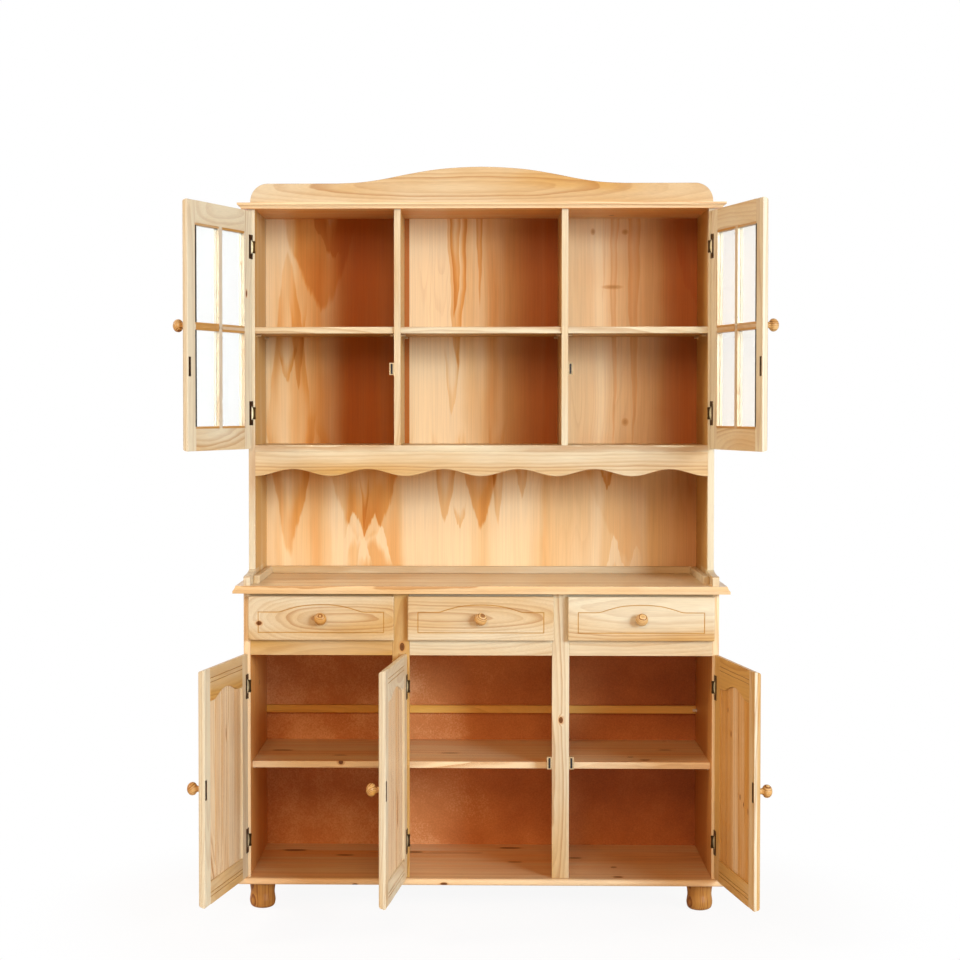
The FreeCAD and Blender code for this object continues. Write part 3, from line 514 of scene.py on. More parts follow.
# %% Named sizes of the drawing
BOARD = 18.0
HALF, INNER = 640.0, 622.0
DEPTH, BACK_FRONT = 460.0, 456.0
FOOT_TOP, FLOOR_TOP = 72.0, 90.0
WORKTOP_LOW, WORKTOP_HIGH = 861.0, 881.0
HUTCH_FRONT, HUTCH_LOW, HUTCH_TOP, TOP_BOARD_TOP = 139.0, 1239.0, 1905.0, 1921.0
print("base", 2 * HALF, "by", DEPTH, "mm, hutch", HUTCH_TOP - WORKTOP_HIGH, "mm high")

# %% A curve through a few points
def smooth_line(points, steps=8):
    """A curve through points, a cubic that leaves each one along the chord of its neighbours."""
    p = np.asarray(points, float)
    p = np.vstack([2 * p[0] - p[1], p, 2 * p[-1] - p[-2]])
    t = np.linspace(0, 1, steps, endpoint=False)[:, None, None]
    a, b, c, d = p[:-3], p[1:-2], p[2:-1], p[3:]
    curve = 0.5 * (2 * b + (c - a) * t + (2 * a - 5 * b + 4 * c - d) * t ** 2
                   + (3 * b - a - 3 * c + d) * t ** 3)
    return np.vstack([curve.transpose(1, 0, 2).reshape(-1, p.shape[1]), p[-2]])


# %% [markdown]
# ## Moulded tops
# The worktop and the top board carry a small hollow moulding on three edges. The bottom board has
# a full round nose. Each is a slab seen from above whose faces fall away by a profile of the
# distance to the nearest of the three worked edges, which mitres the corners as a router does.

# %% The worktop, the top board and the bottom board
HOLLOW = smooth_line([(0, 0.35), (0.10, 0.38), (0.28, 0.45), (0.70, 0.66), (0.90, 0.86),
                      (1.0, 1.0)], 3)
WORKTOP_HOLLOW, TOP_HOLLOW = 7.0, 10.0    # how far each moulding reaches in from the edge
WORKTOP_OUT, TOP_OUT, NOSE_OUT = 27.5, 28.0, 17.5    # how far each board stands out at its ends
WORKTOP_FRONT, TOP_FRONT = -26.0, HUTCH_FRONT - 27.0
NOSE = 8.0


def rimmed(x_half, front, back, insets):
    """A grid over a board worked on its front and both ends, and each point's distance to them."""
    u = rows(-x_half, x_half, insets, insets)[:, None]
    v = rows(front, back, insets, [0])[None, :]
    return u, v, np.minimum(np.minimum(u + x_half, x_half - u), v - front)


def hollow(distance, inset):
    """The share of the board's thickness that is left at a distance from the moulded edge."""
    return np.interp(distance / inset, HOLLOW[:, 0], HOLLOW[:, 1])


cut = np.append(HOLLOW[:, 0] * WORKTOP_HOLLOW, WORKTOP_HOLLOW + 1.0)
u, v, gap = rimmed(HALF + WORKTOP_OUT, WORKTOP_FRONT, DEPTH, cut)
left_over = (WORKTOP_HIGH - WORKTOP_LOW) * hollow(gap, WORKTOP_HOLLOW)
worktop = relief(u, v, WORKTOP_LOW, WORKTOP_LOW + left_over)
cut = np.append(HOLLOW[:, 0] * TOP_HOLLOW, TOP_HOLLOW + 1.0)
u, v, gap = rimmed(HALF + TOP_OUT, TOP_FRONT, DEPTH, cut)
left_over = (TOP_BOARD_TOP - HUTCH_TOP) * hollow(gap, TOP_HOLLOW)
top_board = relief(u, v, TOP_BOARD_TOP - left_over, TOP_BOARD_TOP)
u, v, gap = rimmed(HALF + NOSE_OUT, -NOSE_OUT, DEPTH, arris_insets(NOSE, 8))
nose = arris_drop(gap, NOSE)
bottom = relief(u, v, FOOT_TOP + nose, FLOOR_TOP - nose)
slab = grained(*worktop, X, Y, tone=0.15, knots=0.1)
slab["plank"][slab["points"][:, 1] < WORKTOP_FRONT + WORKTOP_HOLLOW + 0.5, 1] = 0.85
piece("worktop_moulded", "carcass", ["worktop"], worktop_pine, [slab])
# The board is golden as painted shade under it inside the bays, and its moulded front is paler as
# painted light.
top = grained(*top_board, X, Y, tone=0.95)
edges = (top["points"][:, 1] < HUTCH_FRONT - 10.0) & (top["points"][:, 2] > HUTCH_TOP + ON_FACE)
top["plank"][edges, 1] = -0.2
piece("top_board_moulded", "carcass", ["top_board"], shelf_pine, [top])
piece("bottom_board_nosed", "carcass", ["bottom_board"], shelf_pine,
      [grained(*bottom, X, Y, tone=0.4, knots=0.75)])
print("moulded boards:", len(worktop[1]), len(top_board[1]), len(bottom[1]), "faces")

# %% [markdown]
# ## Sawn outlines: the crest, the apron and the hutch sides
# These are sawn from one board and then softened along the cut. The grid's columns run along the
# board, and its rows are squeezed between the lower and the upper line, so the outermost rows
# follow the saw's curve and can be rounded like any straight edge.

# %% A slab between two lines
def sawn(along, low_line, high_line, front, thickness, low_round, high_round, ends=True):
    """A slab between two lines. Its rows keep their distance to the line that they follow."""
    a, b = arris_insets(low_round), arris_insets(high_round)
    s = along[:, None]
    z = np.concatenate([low_line[:, None] + a, high_line[:, None] - b[::-1]], axis=1)
    fall = np.concatenate([arris_drop(a, low_round), arris_drop(b, high_round)[::-1]])
    fall = fall[None, :] + 0 * s
    if ends:
        tip = np.minimum(s - along[0], along[-1] - s)
        fall = np.maximum(fall, arris_drop(tip, high_round))
    return relief(s, z, front + fall, front + thickness - fall)


print("a sawn board has rows at", arris_insets(2.0).round(2), "mm from its curved edge")

# %% The crest
# Quarter-round ends, level shoulders and a long hump.
crest_half, shoulder, end_radius = 634.0, 54.0, 48.0
hump = smooth_line([(0.62, 0.0), (0.52, 0.07), (0.42, 0.27), (0.32, 0.55), (0.2, 0.83),
                    (0.09, 0.96), (0.0, 1.0)], 6)
hump_height = 45.0
turn = np.linspace(0, math.pi / 2, 14)
end_x = -crest_half + end_radius * (1 - np.cos(turn))
end_z = shoulder - end_radius + end_radius * np.sin(turn)
half_x = np.concatenate([end_x, -hump[:, 0] * crest_half])
half_z = np.concatenate([end_z, shoulder + hump[:, 1] * hump_height])
crest_x = np.concatenate([half_x, -half_x[-2::-1]])
crest_z = np.concatenate([half_z, half_z[-2::-1]])
points, quads = sawn(crest_x, 0 * crest_z + TOP_BOARD_TOP, crest_z + TOP_BOARD_TOP, HUTCH_FRONT,
                     BOARD, 0.3, 2.0, False)
crest = grained(points[:, [0, 2, 1]], quads, X, Z, tone=0.45, knots=0.0,
                heart=(-30.0, 1966.0, 20.0, 0.08))
piece("crest_sawn", "carcass", ["crest_board"], lacquered_pine, [crest])
print("the crest rises", crest_z.max(), "mm over", len(crest_x), "columns")

# %% The apron, with six even waves
waves, wave_middle, wave_swing = 6, 57.5, 9.5
wave_x = np.linspace(-INNER, INNER, 241)
wave_turn = 2 * math.pi * (wave_x + INNER) / (2 * INNER) * waves
wave_z = HUTCH_LOW - wave_middle - wave_swing * np.cos(wave_turn)
points, quads = sawn(wave_x, wave_z, 0 * wave_z + HUTCH_LOW, HUTCH_FRONT, BOARD, 2.0, 0.3)
apron = grained(points[:, [0, 2, 1]], quads, X, Z, tone=0.35, knots=0.0,
                heart=(150.0, 1280.0, 40.0, 0.012))
piece("apron_sawn", "carcass", ["apron"], lacquered_pine, [apron])
print("the apron hangs", HUTCH_LOW - wave_z.max(), "to", HUTCH_LOW - wave_z.min(), "mm down")

# %% The hutch sides, with a toe over the worktop that sweeps up to the front edge
sweep = smooth_line([(0.0, 0.0), (0.30, 0.03), (0.58, 0.16), (0.80, 0.42), (0.94, 0.74),
                     (1.0, 1.0)], 6)
turn = np.linspace(0, math.pi / 2, 7)
toe_round, toe_y0, toe_z0 = 6.0, 3.0, 19.0    # the toe's round and its centre
toe_y = np.concatenate([[toe_y0 - toe_round], toe_y0 - toe_round * np.cos(turn),
                        toe_y0 + (HUTCH_FRONT - toe_y0) * sweep[1:, 0], [HUTCH_FRONT]])
toe_z = np.concatenate([[0.0], toe_z0 + toe_round * np.sin(turn),
                        toe_z0 + toe_round + 9.0 * sweep[1:, 1], [HUTCH_TOP - WORKTOP_HIGH]])
toe_z = toe_z + WORKTOP_HIGH
for side, sign in (("left", -1), ("right", 1)):
    face = sign * (HALF - BOARD / 2) - BOARD / 2
    points, quads = sawn(toe_z, toe_y, 0 * toe_y + DEPTH, face, BOARD, 1.5, 0.3, False)
    plank = grained(points[:, [2, 1, 0]], quads, Z, Y, tone=0.2, knots=0.1)
    # The faces inside the bays are golden brown as painted shade.
    inward = sign * plank["points"][:, 0] < HALF - BOARD + ON_FACE
    plank["plank"][inward & (plank["points"][:, 1] > HUTCH_FRONT + 1.6), 1] = 1.1
    node = "hutch_side_" + side
    piece(node + "_sawn", "carcass", [node], lacquered_pine, [plank])
print("the toe is", DEPTH - toe_y.min(), "mm deep, the side above it", DEPTH - HUTCH_FRONT)

# %% The strip along the back of the niche, and two cleats that run forward from it
cleat_high, cleat_round, cleat_front = WORKTOP_HIGH + 21.0, 2.5, 75.0
strip = board((-INNER, BACK_FRONT - BOARD, WORKTOP_HIGH), (INNER, BACK_FRONT, cleat_high), X,
              cleat_round, tone=0.3, heart=(0.0, 900.0, 60.0, 0.004))
cleats = [board((left, cleat_front, WORKTOP_HIGH), (left + BOARD, BACK_FRONT - BOARD, cleat_high),
                Y, cleat_round) for left in (-INNER, INNER - BOARD)]
piece("hutch_cleats_eased", "carcass", ["hutch_cleats"], lacquered_pine, [strip] + cleats)
print("the cleats are", BACK_FRONT - BOARD - cleat_front, "mm long")

# %% [markdown]
# ## Turned pieces
# The feet and the knobs come off a lathe. A surface of revolution is the plain way to draw them:
# one outline, swept round its axis, with a small disc closing each end.

# %% Lathe work
def turned(outline, along, centre, segments=40, tone=None, heart=None):
    """Each outline point (radius, place along the axis) goes round a circle: r cos t, r sin t."""
    t = np.linspace(0, 2 * math.pi, segments, endpoint=False)[None, :]
    radius, place = outline[:, 0, None], outline[:, 1, None]
    ring = np.stack([radius * np.cos(t), radius * np.sin(t), place + 0 * t], -1)
    index = np.arange(ring.shape[0] * segments).reshape(-1, segments)
    side = np.roll(index, -1, axis=1)
    quads = np.stack([index[:-1], side[:-1], side[1:], index[1:]], -1).reshape(-1, 4)
    order = [0, 1, 2] if along == Z else [0, 2, 1]
    points = ring.reshape(-1, 3)[:, order] + np.asarray(centre, float)
    return grained(points, quads, along, X, tone=tone, knots=0.0, heart=heart,
                   caps=(index[0], index[-1]))


FOOT_RADIUS, FOOT_X, FOOT_Y = 35.0, (-594.0, 594.0), (40.0, 400.0)
KNOB_RADIUS, KNOB_LENGTH = 17.0, 34.0
foot_shape = smooth_line([(0.56, 0.0), (0.80, 0.045), (0.94, 0.13), (1.0, 0.29), (0.965, 0.45),
                          (0.93, 0.59), (0.955, 0.74), (0.99, 0.88), (0.99, 1.0)], 6)
foot_shape = foot_shape * (FOOT_RADIUS, FOOT_TOP)
feet = [turned(foot_shape, Z, (x, y, 0.0), 56, 1.8, (0.0, x - 70.0, 20.0, 0.5))
        for x in FOOT_X for y in FOOT_Y]
piece("feet_turned", "carcass", ["bun_feet"], turned_pine, feet)
knob_shape = smooth_line([(0.52, 0.0), (0.45, 0.16), (0.56, 0.30), (0.88, 0.43), (1.0, 0.60),
                          (0.90, 0.80), (0.58, 0.95), (0.28, 0.993), (0.03, 1.0)], 6)
knob_shape = knob_shape * (KNOB_RADIUS, -KNOB_LENGTH)
print("foot outline", len(foot_shape), "points, knob outline", len(knob_shape))

# %% [markdown]
# ## Drawers
# A drawer front is a plain board with rounded edges and a thin line routed round its face, which
# rises in an arch at the top. The line is part of the wood, so it is cut into the surface: the
# grid's rows follow the arch, three of them run along the cut, and the face falls in a small
# vee between them.

# %% Drawer fronts
def retone_line(part, line, tone, back=False):
    """Set the tone of the grid points on a line, on the face or on the back."""
    half = len(part["plank"]) // 2
    side = part["plank"][half:] if back else part["plank"][:half]
    side[line.ravel(), 1] = tone
    return part


arch_half = smooth_line([(0.0, 1.0), (0.10, 0.97), (0.23, 0.80), (0.36, 0.40), (0.45, 0.06),
                         (0.5, 0.0)], 5)
VEE = 1.6    # half the width of the routed line, and its depth
DRAWER_HALF, DRAWER_LOW, DRAWER_HIGH, DRAWER_FACE = 196.4, 734.6, 853.4, -19.5
DRAWER_ROUND = 4.0
LINE_SIDE, LINE_LOW, LINE_HEAD = 27.5, 21.5, 42.5    # the routed line, in from the front's edges
LINE_RISE, LINE_LEVEL = 20.0, 48.0    # the height of its arch, and its level stretch at each side


def drawer_front(x, tone, heart):
    """A slab with a 4 mm rounding whose face falls by the distance to the routed line."""
    left, right, low, high = x - DRAWER_HALF, x + DRAWER_HALF, DRAWER_LOW, DRAWER_HIGH
    line_left, line_right, line_low = left + LINE_SIDE, right - LINE_SIDE, low + LINE_LOW
    run = right - left - 2 * LINE_SIDE - 2 * LINE_LEVEL
    arch_x = np.concatenate([x - arch_half[::-1, 0] * run, x + arch_half[1:, 0] * run])
    arch_z = np.concatenate([arch_half[::-1, 1], arch_half[1:, 1]]) * LINE_RISE
    cut, vee = arris_insets(DRAWER_ROUND, 6), np.array([-VEE, 0, VEE])
    columns = np.concatenate([left + cut, line_left + vee, arch_x, line_right + vee,
                              right - cut[::-1]])[:, None]
    head = high - LINE_HEAD + np.interp(columns, arch_x, arch_z)
    lines = [low + cut + 0 * columns, line_low + vee + 0 * columns, head + vee,
             high - cut[::-1] + 0 * columns]
    z = np.concatenate(lines, axis=1)
    edge = np.minimum(np.minimum(columns - left, right - columns), np.minimum(z - low, high - z))
    aside = np.maximum(line_left - columns, columns - line_right)
    outside = np.maximum(aside, np.maximum(line_low - z, z - head))
    fall = arris_drop(edge, DRAWER_ROUND) + np.clip(VEE - np.abs(outside), 0, VEE)
    points, quads = relief(columns, z, DRAWER_FACE + fall, DRAWER_FACE + BOARD)
    front = grained(points[:, [0, 2, 1]], quads, X, Z, tone=tone, knots=0.1, heart=heart)
    # The routed line is darkened as painted shade in its groove.
    return retone_line(front, np.abs(outside) < 0.1, 1.55)


drawers = (("left", -430.0, 0.35, (-365.0, 797.0, 9.0, 0.9)),
           ("middle", 0.0, 0.45, (-95.0, 800.0, 12.5, 0.35)),
           ("right", 430.0, 0.3, (520.0, 830.0, 50.0, 0.12)))
drawer_middle = (DRAWER_LOW + DRAWER_HIGH) / 2
for name, x, tone, heart in drawers:
    body = "drawer_" + name
    front = drawer_front(x, tone, heart)
    piece(body + "_front_routed", body, [body + "_front"], lacquered_pine, [front])
    knob = turned(knob_shape, Y, (x, DRAWER_FACE, drawer_middle), tone=0.5)
    piece(body + "_knob_turned", body, [body + "_knob"], turned_pine, [knob])
print("each drawer front has", len(front["quads"]), "faces")

# %% [markdown]
# ## Doors
# Each door is drawn shut and then swung on its pin, as the drafting does, so its mouldings stay
# square to it. The front edge has a small step and a round; the five-board panel of a lower door
# is scored on both faces; the routed lines cross only the rails, because that is where the router
# ran. Glass doors have a rebate behind, in which the beads hold the panes.

# %% Door helpers
PIN_FORWARD, BACK, EDGE = 3.0, 1.5, 3.1    # frame to pin, pin to the door's back and to its edge
PIN_X, MIDDLE_PIN_X = 629.5, -199.5
LIP, STEP, CORNER = 11.0, 1.5, 8.5    # thickness lost at the lip, its width, the moulding's round
STEP_IN = np.array([0.0, 1.5, 1.55, 2.0, 3.0, 4.6, 6.6, 8.8, 10.0, 10.8])
END_ROUND = 0.8
KNOB_IN = 24.0    # from the free edge of a door to the middle of its knob


def moulding(distance):
    """Depth below the face: an 11 mm lip, a 1.5 mm step, then a quarter circle of 8.5 mm."""
    inside = np.clip(STEP + CORNER - distance, 0, CORNER)
    return np.where(distance < STEP + 0.02, LIP, CORNER - np.sqrt(CORNER ** 2 - inside ** 2))


def hung(pin_x, frame_y, hand, angle):
    """How a door stands open: turned about its pin, mirrored if hung on the right, and moved."""
    c, s = math.cos(math.radians(angle)), math.sin(math.radians(angle))

    def place(points):
        x, y, z = points.T
        out_x = hand * (x * c + y * s) + pin_x
        return np.stack([out_x, -x * s + y * c + frame_y - PIN_FORWARD, z], -1)
    return place


def member(u, v, front_fall, back_fall, along, thickness, **look):
    """A door member over a grid of x and z: its face and back fall by the given amounts."""
    front = BACK - thickness
    points, quads = relief(u, v, front + front_fall, BACK - back_fall)
    return grained(points[:, [0, 2, 1]], quads, along, X if along == Z else Z, **look)


def pale_edged(stile, u, v, outer):
    """A stile whose outer edge is paler than its face."""
    edge = (u == outer) & (v > 0)
    return retone_line(retone_line(stile, edge, -0.5), edge, -0.5, True)


print("the moulding falls", moulding(STEP_IN).round(1), "mm at", STEP_IN, "mm from the edge")

# %% Members of a lower door
ARCH = smooth_line([(0.0, 0.0), (0.10, 0.0), (0.18, 0.12), (0.28, 0.52), (0.38, 0.86), (0.5, 1.0),
                    (0.62, 0.86), (0.72, 0.52), (0.82, 0.12), (0.90, 0.0), (1.0, 0.0)], 5)
SOFT = arris_insets(END_ROUND, 2)
SCORE, PANEL_SCORE = 1.2, 1.4    # half the width of a scored line, and its depth
RAIL_SCORES, HEAD_SCORES = (20.0, 30.0), (25.0, 36.0)    # from the door's lower and upper edge
LOWER_THICK, STILE, BOTTOM_RAIL = 18.7, 50.0, 58.0
HEAD_RAIL, ARCH_RISE, ARCH_ROUND = 85.0, 21.0, 3.0
LOWER_KNOB = 300.0    # from the door's lower edge to its knob
PANEL_TUCK, PANEL_THICK, PANEL_BACK = 8.0, 8.0, 5.0
BELOW_SCORES = 45.0    # a grid line of the head rail, between its scored lines and its arch
X0, X1, Z0, Z1 = EDGE, EDGE + 392.8, 93.0, 697.0    # a lower door's outline, from its pin
LEFT, RIGHT = X0 + STILE, X1 - STILE


def score_rows(lines):
    """A grid line in each scored line and one at both of its edges."""
    return (np.array(lines)[:, None] + np.array([-SCORE, 0.0, SCORE])).ravel()


def lower_stile(outer, inner, tone):
    """A stile from its moulded outer edge to its softened inner one, as high as the door."""
    sign = np.sign(inner - outer)
    u = rows(outer, inner, sign * STEP_IN, sign * SOFT)[:, None]
    v = rows(Z0, Z1, STEP_IN, STEP_IN)[None, :]
    rim = np.minimum(abs(u - outer), np.minimum(v - Z0, Z1 - v))
    soft = arris_drop(abs(inner - u), END_ROUND)
    face, back = np.maximum(moulding(rim), soft), np.maximum(soft, arris_drop(rim, 1.0))
    stile = member(u, v, face, back, Z, LOWER_THICK, tone=tone, knots=0.25)
    return pale_edged(stile, u, v, outer)


def bottom_rail(tone):
    """A rail with two scored lines on its back."""
    u = rows(LEFT, RIGHT, SOFT, SOFT)[:, None]
    scores = Z0 + score_rows(RAIL_SCORES)
    v = np.sort(np.concatenate([Z0 + STEP_IN, Z0 + BOTTOM_RAIL - SOFT, scores]))
    ends = arris_drop(np.minimum(u - LEFT, RIGHT - u), END_ROUND)
    nearest = np.minimum(*[abs(v - Z0 - line) for line in RAIL_SCORES])
    score = np.clip(SCORE - nearest, 0, SCORE)
    top = arris_drop(Z0 + BOTTOM_RAIL - v, END_ROUND)
    face = np.maximum(moulding(v - Z0), top)[None, :]
    back = np.maximum(np.maximum(ends, top), score)
    rail = member(u, v[None, :], np.maximum(face, ends), back, X, LOWER_THICK, tone=tone)
    # The scored lines on the back are darkened as painted shade in their grooves.
    return retone_line(rail, (score > SCORE - 0.1) & (u > 0), 3.0, True)


def head_rail(tone):
    """The arched rail: the rows near its lower edge follow the arch. Two scored lines behind."""
    across = LEFT + END_ROUND + ARCH[:, 0] * (RIGHT - LEFT - 2 * END_ROUND)
    u = np.concatenate([LEFT + SOFT[:-1], across, RIGHT - SOFT[:-1][::-1]])
    u = np.unique(u.round(4))[:, None]
    arch = np.interp((u - LEFT) / (RIGHT - LEFT), ARCH[:, 0], ARCH[:, 1])
    arch = Z1 - HEAD_RAIL + ARCH_RISE * arch
    ease = arris_insets(ARCH_ROUND, 4)
    scores = Z1 - np.append(score_rows(HEAD_SCORES), BELOW_SCORES)
    top = np.sort(np.concatenate([Z1 - STEP_IN, scores]))
    v = np.concatenate([arch + ease, np.tile(top, (len(u), 1))], axis=1)
    ends = arris_drop(np.minimum(u - LEFT, RIGHT - u), END_ROUND)
    bow = np.where(np.arange(v.shape[1]) < len(ease), arris_drop(v - arch, ARCH_ROUND), 0.0)
    nearest = np.minimum(*[abs(Z1 - line - v) for line in HEAD_SCORES])
    score = np.clip(SCORE - nearest, 0, SCORE)
    face = np.maximum(np.maximum(moulding(Z1 - v), bow), ends)
    back = np.maximum(np.maximum(bow, ends), score)
    rail = member(u, v, face, back, X, LOWER_THICK, tone=tone)
    # The scored lines on the back are darkened as painted shade in their grooves.
    return retone_line(rail, score > SCORE - 0.1, 3.0, True)


# %% The scored panel of a lower door
def scored_panel(tone):
    """Five boards in one sheet, 8 mm thick, scored on both faces where they join."""
    joins = LEFT + (RIGHT - LEFT) / 5 * np.arange(1, 5)
    scores = joins[:, None] + np.array([-PANEL_SCORE, 0.0, PANEL_SCORE])
    u = np.concatenate([[LEFT - PANEL_TUCK, LEFT], scores.ravel(), [RIGHT, RIGHT + PANEL_TUCK]])
    u = u[:, None]
    panel_top = Z1 - HEAD_RAIL + ARCH_RISE + PANEL_TUCK
    v = np.linspace(Z0 + BOTTOM_RAIL - PANEL_TUCK, panel_top, 3)[None, :]
    nearest = np.abs(u - joins[None, :]).min(axis=1)[:, None]
    fall = np.clip(PANEL_SCORE - nearest, 0, PANEL_SCORE) + 0 * v
    back = BACK - PANEL_BACK
    points, quads = relief(u, v, back - PANEL_THICK + fall, back - fall)
    panel = grained(points[:, [0, 2, 1]], quads, Z, X, tone=tone, knots=0.45)
    panel["grain"][:, 1] += PANEL_BOARD - PANEL_TUCK * MM
    groove = fall > PANEL_SCORE - 0.1
    # The grooves are darkened as painted shade on both faces.
    return retone_line(retone_line(panel, groove, 3.0), groove, 3.0, True)


# %% Hang the lower doors
def lower_door(name, place, tones):
    """Two stiles, a bottom rail, an arched head rail, a scored panel and a knob."""
    parts = [lower_stile(X0, LEFT, tones[0]), lower_stile(X1, RIGHT, tones[1]),
             bottom_rail(tones[2]), head_rail(tones[3])]
    piece(name + "_frame_moulded", name, [name + "_frame"], lacquered_pine, parts, place)
    panel = scored_panel(tones[4])
    piece(name + "_panel_scored", name, [name + "_panel"], panel_pine, [panel], place)
    knob = turned(knob_shape, Y, (X1 - KNOB_IN, BACK - LOWER_THICK, Z0 + LOWER_KNOB), tone=0.5)
    piece(name + "_knob_turned", name, [name + "_knob"], turned_pine, [knob], place)


lower_door("door_lower_left", hung(-PIN_X, 0.0, 1, 100.0), (0.0, 0.0, 0.55, 0.85, 0.1))
lower_door("door_lower_middle", hung(MIDDLE_PIN_X, 0.0, 1, 96.0), (0.05, 0.05, 0.2, 0.25, -0.1))
lower_door("door_lower_right", hung(PIN_X, 0.0, -1, 98.5), (0.85, 0.75, 0.85, 1.0, 0.85))

# %% [markdown]
# A glazed door is lighter. Its rails and stiles have a rebate all round each pane, and the cross
# of bars is tongued into them. The beads are pinned in afterwards, so they are separate strips
# with a fine dark seam along the frame.

# %% Members of an upper door
REBATE, REBATE_DEEP, BEAD_DEEP = 6.0, 11.0, 8.0
UPPER_THICK, UPPER_STILE, UPPER_RAIL, HALF_BAR = 18.0, 48.0, 64.0, 10.0
UPPER_KNOB = 326.0    # from the door's lower edge to its knob
BAR_ROUND = 3.0
WALL = 0.1    # the step of the grid in which a rebate's wall goes down
TONGUE = HALF_BAR - REBATE    # half the tongue behind a bar
INSIDE = REBATE - WALL / 2
brad_shape = np.array([(1.3, -0.2), (1.2, 0.25), (0.5, 0.45), (0.05, 0.47)])
# A dark green-black strip lies along the beads of the free stile.
dark_line, tree, shader = start_material("dark_strip_green_black")
cloud = noise(tree, own_place(tree), 2.0, (300.0, 300.0, 60.0)).outputs["Fac"]
tones = ramp(tree, cloud, [(0.35, "#0b0f0c"), (0.65, "#1c2620")]).outputs["Color"]
finish(tree, shader, tones, span(tree, cloud, 0.0, 1.0, 0.25, 0.5), cloud, 0.05, 0.0002)


UX0, UX1, UZ0, UZ1 = EDGE, EDGE + 391.8, 1247.0, 1899.0    # an upper door's outline
PANE_LEFT, PANE_RIGHT = UX0 + UPPER_STILE, UX1 - UPPER_STILE
PANE_LOW, PANE_HIGH = UZ0 + UPPER_RAIL, UZ1 - UPPER_RAIL
MID_X, MID_Z = (UX0 + UX1) / 2, (UZ0 + UZ1) / 2
TO_WALL = [REBATE - WALL, REBATE, REBATE + 1.0]    # grid lines that a rebate's wall needs
INNER_CUT = np.array([0.0, 0.3, 1.0] + TO_WALL)    # grid lines beside a pane
PANE_X = ((PANE_LEFT, MID_X - HALF_BAR), (MID_X + HALF_BAR, PANE_RIGHT))
PANE_Z = ((PANE_LOW, MID_Z - HALF_BAR), (MID_Z + HALF_BAR, PANE_HIGH))


def upper_stile(outer, inner, tone):
    """A stile, moulded outside and rebated behind beside the upper and the lower pane."""
    sign = np.sign(inner - outer)
    u = rows(outer, inner, sign * STEP_IN, sign * INNER_CUT)[:, None]
    wall = np.array([0.0, WALL])
    v = [rows(UZ0, UZ1, STEP_IN, STEP_IN), PANE_LOW - REBATE - wall, MID_Z - TONGUE - wall,
         MID_Z + TONGUE + wall, PANE_HIGH + REBATE + wall]
    v = np.sort(np.concatenate(v))[None, :]
    rim = np.minimum(abs(u - outer), np.minimum(v - UZ0, UZ1 - v))
    pane = (abs(inner - u) < INSIDE) & (abs(v - MID_Z) > TONGUE + WALL / 2)
    reach = REBATE + WALL / 2
    pane = pane & (v > PANE_LOW - reach) & (v < PANE_HIGH + reach)
    face = np.maximum(moulding(rim), arris_drop(abs(inner - u), 1.0))
    back = np.where(pane, REBATE_DEEP, arris_drop(rim, 1.0))
    stile = member(u, v, face, back, Z, UPPER_THICK, tone=tone, knots=0.2)
    return pale_edged(stile, u, v, outer)


def upper_rail(outer, inner, tone):
    """A rail between the stiles, rebated behind beside the left and the right pane."""
    sign = np.sign(inner - outer)
    u = np.array([PANE_LEFT, PANE_LEFT + END_ROUND, MID_X - TONGUE - WALL, MID_X - TONGUE,
                  MID_X + TONGUE, MID_X + TONGUE + WALL, PANE_RIGHT - END_ROUND, PANE_RIGHT])
    u = u[:, None]
    v = rows(outer, inner, sign * STEP_IN, sign * INNER_CUT)[None, :]
    pane = (abs(inner - v) < INSIDE) & (abs(u - MID_X) > TONGUE + WALL / 2)
    ends = arris_drop(np.minimum(u - PANE_LEFT, PANE_RIGHT - u), END_ROUND)
    face = np.maximum(moulding(abs(v - outer)), arris_drop(abs(inner - v), 1.0))
    face, back = np.maximum(face, ends), np.where(pane, REBATE_DEEP, ends)
    return member(u, v, face, back, X, UPPER_THICK, tone=tone, knots=0.1)


# %% Bars and beads
def glazing_bar(start, end, middle, along):
    """A bar, 20 mm wide in front with an 8 mm tongue behind."""
    width = np.array([0.0, 0.9, BAR_ROUND] + TO_WALL)
    w = rows(middle - HALF_BAR, middle + HALF_BAR, width, width)
    inset = np.minimum(w - middle + HALF_BAR, middle + HALF_BAR - w)
    s = np.array([start, start + END_ROUND, (start + end) / 2, end - END_ROUND, end])
    u, v = (w[:, None], s[None, :]) if along == Z else (s[:, None], w[None, :])
    inset = inset[:, None] if along == Z else inset[None, :]
    back = np.where(inset < INSIDE, REBATE_DEEP, 0.0)
    return member(u, v, arris_drop(inset, BAR_ROUND), back, along, UPPER_THICK,
                  tone=-0.2 if along == Z else 0.5, knots=0.0)


def beads_round(left, right, low, high):
    """Four strips in the rebate round one pane."""
    r = REBATE
    strips = [((left - r, low - r), (left, high + r), Z, 0.1),
              ((right, low - r), (right + r, high + r), Z, 0.1),
              ((left, low - r), (right, low), X, 1.0),
              ((left, high), (right, high + r), X, 1.0)]
    front = BACK - BEAD_DEEP
    return [board((u0, front, v0), (u1, BACK, v1), along, 1.0, tone=tone, knots=0.0)
            for (u0, v0), (u1, v1), along, tone in strips]


def seams_and_brads():
    """A dark green-black strip along the beads of the free stile, and the beads' small nails."""
    seams = [board((PANE_RIGHT - 3.6, BACK - 1.0, low), (PANE_RIGHT + 4.4, BACK + 0.3, high), Z, 0.2)
             for low, high in PANE_Z]
    brad_x = (PANE_LEFT - 3.0, MID_X - 13.0, MID_X + 13.0, PANE_RIGHT + 4.5)
    brad_z = (PANE_LOW + 14.0, MID_Z - 26.0, MID_Z + 26.0, PANE_HIGH - 14.0)
    brads = [turned(brad_shape, Y, (x, BACK, z), 10) for x in brad_x for z in brad_z]
    return seams + brads


